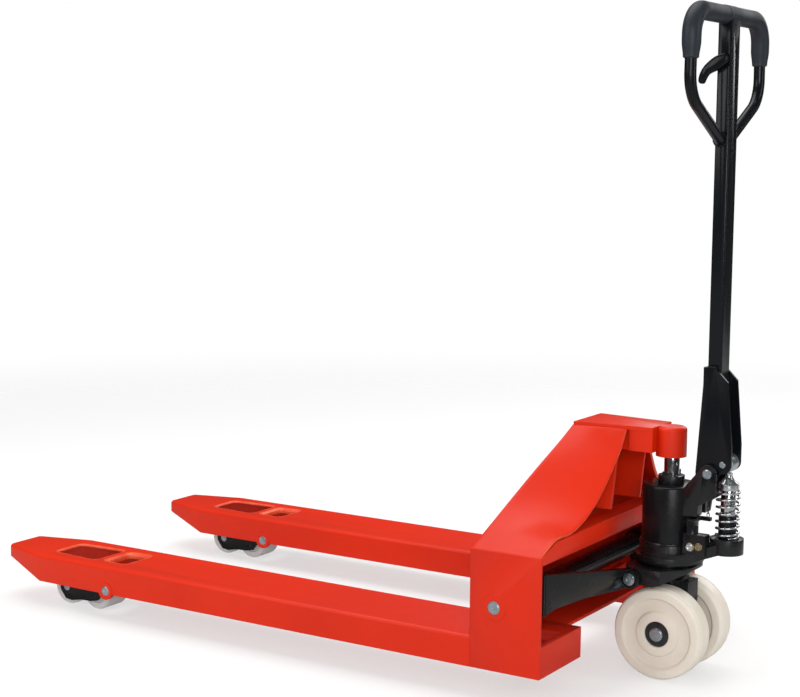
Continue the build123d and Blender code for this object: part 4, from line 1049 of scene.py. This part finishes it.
def chain_tree():
    """Geometry nodes: oval links along a path, every other one turned a quarter."""
    sizes = (("Link length", 0.008), ("Link width", 0.005), ("Wire radius", 0.0008))
    tree, node, join = growth_tree("release_chain_links", sizes)
    start = node("NodeGroupInput")
    curve = node("GeometryNodeMeshToCurve")
    pitch = node("ShaderNodeMath", operation="SUBTRACT")
    overlap = node("ShaderNodeMath", operation="MULTIPLY")
    overlap.inputs[1].default_value = 2.6
    points = node("GeometryNodeCurveToPoints", mode="LENGTH")
    circle = node("GeometryNodeCurvePrimitiveCircle", Resolution=20, Radius=0.5)
    oval = node("GeometryNodeTransform")
    oval_size = node("ShaderNodeCombineXYZ", Z=1)
    section = node("GeometryNodeCurvePrimitiveCircle", Resolution=8)
    link = node("GeometryNodeCurveToMesh")
    stand = node("GeometryNodeTransform", Rotation=(math.pi / 2, math.pi / 2, 0))
    index = node("GeometryNodeInputIndex")
    quarter = node("ShaderNodeMath", operation="MULTIPLY")
    quarter.inputs[1].default_value = math.pi / 2
    spin = node("ShaderNodeCombineXYZ")
    place = node("GeometryNodeInstanceOnPoints")
    join(
        (start, "Path", curve, "Mesh"), (curve, "Curve", points, "Curve"), (start, "Link length", pitch, 0),
        (start, "Wire radius", overlap, 0), (overlap, "Value", pitch, 1), (pitch, "Value", points, "Length"),
        (start, "Link length", oval_size, "X"), (start, "Link width", oval_size, "Y"),
        (circle, "Curve", oval, "Geometry"), (oval_size, "Vector", oval, "Scale"),
        (start, "Wire radius", section, "Radius"), (oval, "Geometry", link, "Curve"),
        (section, "Curve", link, "Profile Curve"), (link, "Mesh", stand, "Geometry"),
        (stand, "Geometry", place, "Instance"), (points, "Points", place, "Points"),
        (index, "Index", quarter, 0), (quarter, "Value", spin, "Z"), (spin, "Vector", place, "Rotation"),
    )
    close_tree(node, join, start, place)
    return tree


chain_low, chain_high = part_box("release_chain")
chain_x = (chain_low[0] + chain_high[0]) / 2
chain_run = [(chain_x, 0, chain_low[2] + 0.003), (chain_x, 0, chain_high[2] - 0.003)]
dark_steel = finish("oiled_chain_steel", (0.05, 0.05, 0.055), (0.02, 0.02, 0.022), 200, (0.3, 0.5), 900,
                    0.05, metal=0.8)
chain = grown("release_chain_links", path_mesh("release_chain_path", [chain_run]), chain_tree(), {
    "Link length": link_length, "Link width": link_width, "Wire radius": link_wire, "Finish": dark_steel,
})
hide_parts("release_chain")
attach(chain, "release_chain")

# ---- handle foot and tube -----------------------------------------------------------
# A U-shaped foot of folded plate round the pivot and the pressure roller, welded to a
# rectangular tube. Satin black paint, a little greyer where the light catches it; the
# foot's rounded edges are a lighter black, a painted highlight.
handle_black = finish("black_satin_paint", (0.0045, 0.0055, 0.008), (0.003, 0.0035, 0.005), 7, (0.20, 0.32),
                      480, 0.07, specular=0.24)
finish_like("handle_base", "handle", "black_paint", 0.0016, handle_black, 3, black_painted_highlight)
finish_like("handle_tube", "handle", "black_paint", 0.0006, handle_black, 2)
finish_like("pull_rod", "pull_rod", "zinc_steel", 0.0005, zinc, 2)
finish_like("pressure_roller", "pressure_roller", "zinc_steel", 0.0010, zinc, 2)
tube_low, tube_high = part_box("handle_tube")
foot_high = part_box("handle_base")[1]
weld("handle_foot_welds", "handle", handle_black, [
    [(tube_low[0] + 0.006, side * (tube_high[1] + 0.0035), foot_high[2] + 0.0002),
     (tube_low[0] + 0.018, side * (tube_high[1] + 0.0035), foot_high[2] + 0.0002)] for side in (-1, 1)
], 0.0022, 11)

# ---- handle loop and grips ----------------------------------------------------------
# A bent round tube welded across the handle's top and into its sides lower down, with
# thick moulded rubber sleeves that meet over the tube and taper at their lower ends.
loop_low, loop_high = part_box("handle_loop")
grip_low, grip_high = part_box("right_grip")
grip_radius = (grip_high[0] - grip_low[0]) / 2
tube_radius = (loop_high[0] - loop_low[0]) / 2
loop_x = (loop_low[0] + loop_high[0]) / 2
bar_z = grip_high[2] - grip_radius
half_span = 0.160
knee = (0.163, 1.046)
loop_foot = (0.0175, 0.970)
corner_radius = 0.043
knee_radius = 0.060
grip_end_z = 1.106
tube_sides = 32
rubber = finish("grip_rubber", (0.020, 0.025, 0.034), (0.013, 0.017, 0.024), 12, (0.44, 0.60), 620, 0.22,
                specular=0.35)


def rounded_route(corners, radii, spacing=0.004):
    """Evenly divided points along straight runs joined by arcs."""
    route = [Vector(corners[0])]
    for index in range(1, len(corners) - 1):
        here = Vector(corners[index])
        one = (Vector(corners[index - 1]) - here).normalized()
        two = (Vector(corners[index + 1]) - here).normalized()
        half = one.angle(two) / 2
        reach = radii[index - 1] / math.tan(half)
        centre = here + (one + two).normalized() * radii[index - 1] / math.sin(half)
        start = here + one * reach - centre
        finish_at = here + two * reach - centre
        swing = start.angle(finish_at)
        axis = start.cross(finish_at).normalized()
        steps = max(6, int(radii[index - 1] * swing / spacing))
        for step in range(steps + 1):
            route.append(centre + Matrix.Rotation(swing * step / steps, 3, axis) @ start)
    route.append(Vector(corners[-1]))
    filled = [route[0]]
    for point in route[1:]:
        gap = (point - filled[-1]).length
        parts = max(1, int(gap / spacing))
        start = filled[-1].copy()
        for part in range(1, parts + 1):
            filled.append(start.lerp(point, part / parts))
    return filled


def tube_round(name, route, radius_at, sides=tube_sides):
    """Closed round tube along a route in the plane X = constant; radius_at takes the length run."""
    rings = []
    run = 0.0
    across = Vector((1, 0, 0))
    for index, point in enumerate(route):
        if index:
            run += (point - route[index - 1]).length
        ahead = route[min(index + 1, len(route) - 1)] - route[max(index - 1, 0)]
        normal = across.cross(ahead.normalized()).normalized()
        radius = radius_at(run)
        rings.append([
            point + (across * math.cos(t * math.tau / sides) + normal * math.sin(t * math.tau / sides)) * radius
            for t in range(sides)
        ])
    piece = add_mesh(name, *capped(rings))
    recalculated(piece)
    shade(piece, 40)
    return piece


loop_route = rounded_route([
    (loop_x, -loop_foot[0], loop_foot[1]), (loop_x, -knee[0], knee[1]), (loop_x, -half_span, bar_z),
    (loop_x, half_span, bar_z), (loop_x, knee[0], knee[1]), (loop_x, loop_foot[0], loop_foot[1]),
], [knee_radius, corner_radius, corner_radius, knee_radius])
loop = tube_round("handle_loop_tube", loop_route, lambda run: tube_radius)
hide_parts("handle_loop")
put_on(loop, "handle", "black_paint", handle_black)

lean = (half_span - knee[0]) / (bar_z - knee[1])
grip_foot_y = half_span - (bar_z - grip_end_z) * lean
for side_name, side in (("left", -1), ("right", 1)):
    grip_route = rounded_route([
        (loop_x, side * grip_foot_y, grip_end_z), (loop_x, side * half_span, bar_z),
        (loop_x, side * 0.0004, bar_z),
    ], [corner_radius], 0.002)

    def grip_radius_at(run):
        """Thin lip at the lower end, a taper over 28 mm, then full and faintly barrelled."""
        taper = min(1.0, run / 0.028)
        eased = taper * taper * (3 - 2 * taper)
        lip = 0.0004 * math.exp(-((run - 0.0015) / 0.0012) ** 2)
        barrel = 0.0004 * math.sin(min(run, 0.12) / 0.12 * math.pi)
        start = 0.0015 if run < 0.0006 else 0.0
        return 0.0134 + (grip_radius - 0.0004 - 0.0134) * eased + lip + barrel - start

    sleeve = tube_round(side_name + "_grip_sleeve", grip_route, grip_radius_at, 40)
    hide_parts(side_name + "_grip")
    put_on(sleeve, "handle", "grip_rubber", rubber)

saddle_route = [Vector((loop_x, y, bar_z)) for y in (-0.0245, -0.0238, -0.0225, 0.0225, 0.0238, 0.0245)]
saddle_radius = grip_radius + 0.0003
saddle = tube_round("bar_saddle", saddle_route,
                    lambda run: saddle_radius if 0.0012 < run < 0.0478 else saddle_radius - 0.0012)
put_on(saddle, "handle", "grip_rubber", rubber)
weld("loop_foot_welds", "handle", handle_black, [
    ring_run((loop_x, side * (tube_high[1] + 0.0002), 0.9722), 0.0118, axis="Y") for side in (-1, 1)
], 0.0020, 13)

# ---- finger lever -------------------------------------------------------------------
# Hooked lever cut from 10 mm plate and rounded by its die, on a pin through the tube's
# wall. It lifts the pull rod inside the tube to lower the forks.
lever_low, lever_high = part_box("control_lever")
lever_back = lever_high[0] - 0.008
lever_axis = (lever_back, lever_high[2] - 0.008)
lever_face = lever_low[1]
lever_thickness = 0.0100
hook = [
    (0.004, 0.0085), (-0.006, 0.0068), (-0.016, 0.0030), (-0.027, -0.0050), (-0.036, -0.0140),
    (-0.0425, -0.0250), (-0.0450, -0.0350), (-0.0445, -0.0400), (-0.0410, -0.0430), (-0.0360, -0.0428),
    (-0.0335, -0.0395), (-0.0315, -0.0350), (-0.0270, -0.0280), (-0.0205, -0.0240), (-0.0120, -0.0205),
    (-0.0030, -0.0145), (0.0050, -0.0080), (0.0085, 0.0000),
]


hook_line = smooth_run(hook, 4, closed=True)
hook_rings = []
for share, shrink in ((0.0, 0.0016), (0.08, 0.0006), (0.18, 0.0), (0.82, 0.0), (0.92, 0.0006), (1.0, 0.0016)):
    ring = []
    for index, point in enumerate(hook_line):
        ahead = hook_line[(index + 1) % len(hook_line)] - hook_line[index - 1]
        inward = Vector((ahead.y, -ahead.x)).normalized() * -shrink
        moved = point + inward
        ring.append((lever_axis[0] + moved.x, lever_face + lever_thickness * share, lever_axis[1] + moved.y))
    hook_rings.append(ring)
lever = add_mesh("finger_lever", *capped(hook_rings))
recalculated(lever)
shade(lever, 60)
hub = turned("finger_lever_hub", [(0, 0), (0.0048, 0), (0.0048, 0.034), (0, 0.034)],
             (lever_axis[0], lever_face + 0.001, lever_axis[1]))
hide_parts("control_lever")
put_on(lever, "control_lever", "black_paint", handle_black)
put_on(hub, "control_lever", "black_paint", zinc)
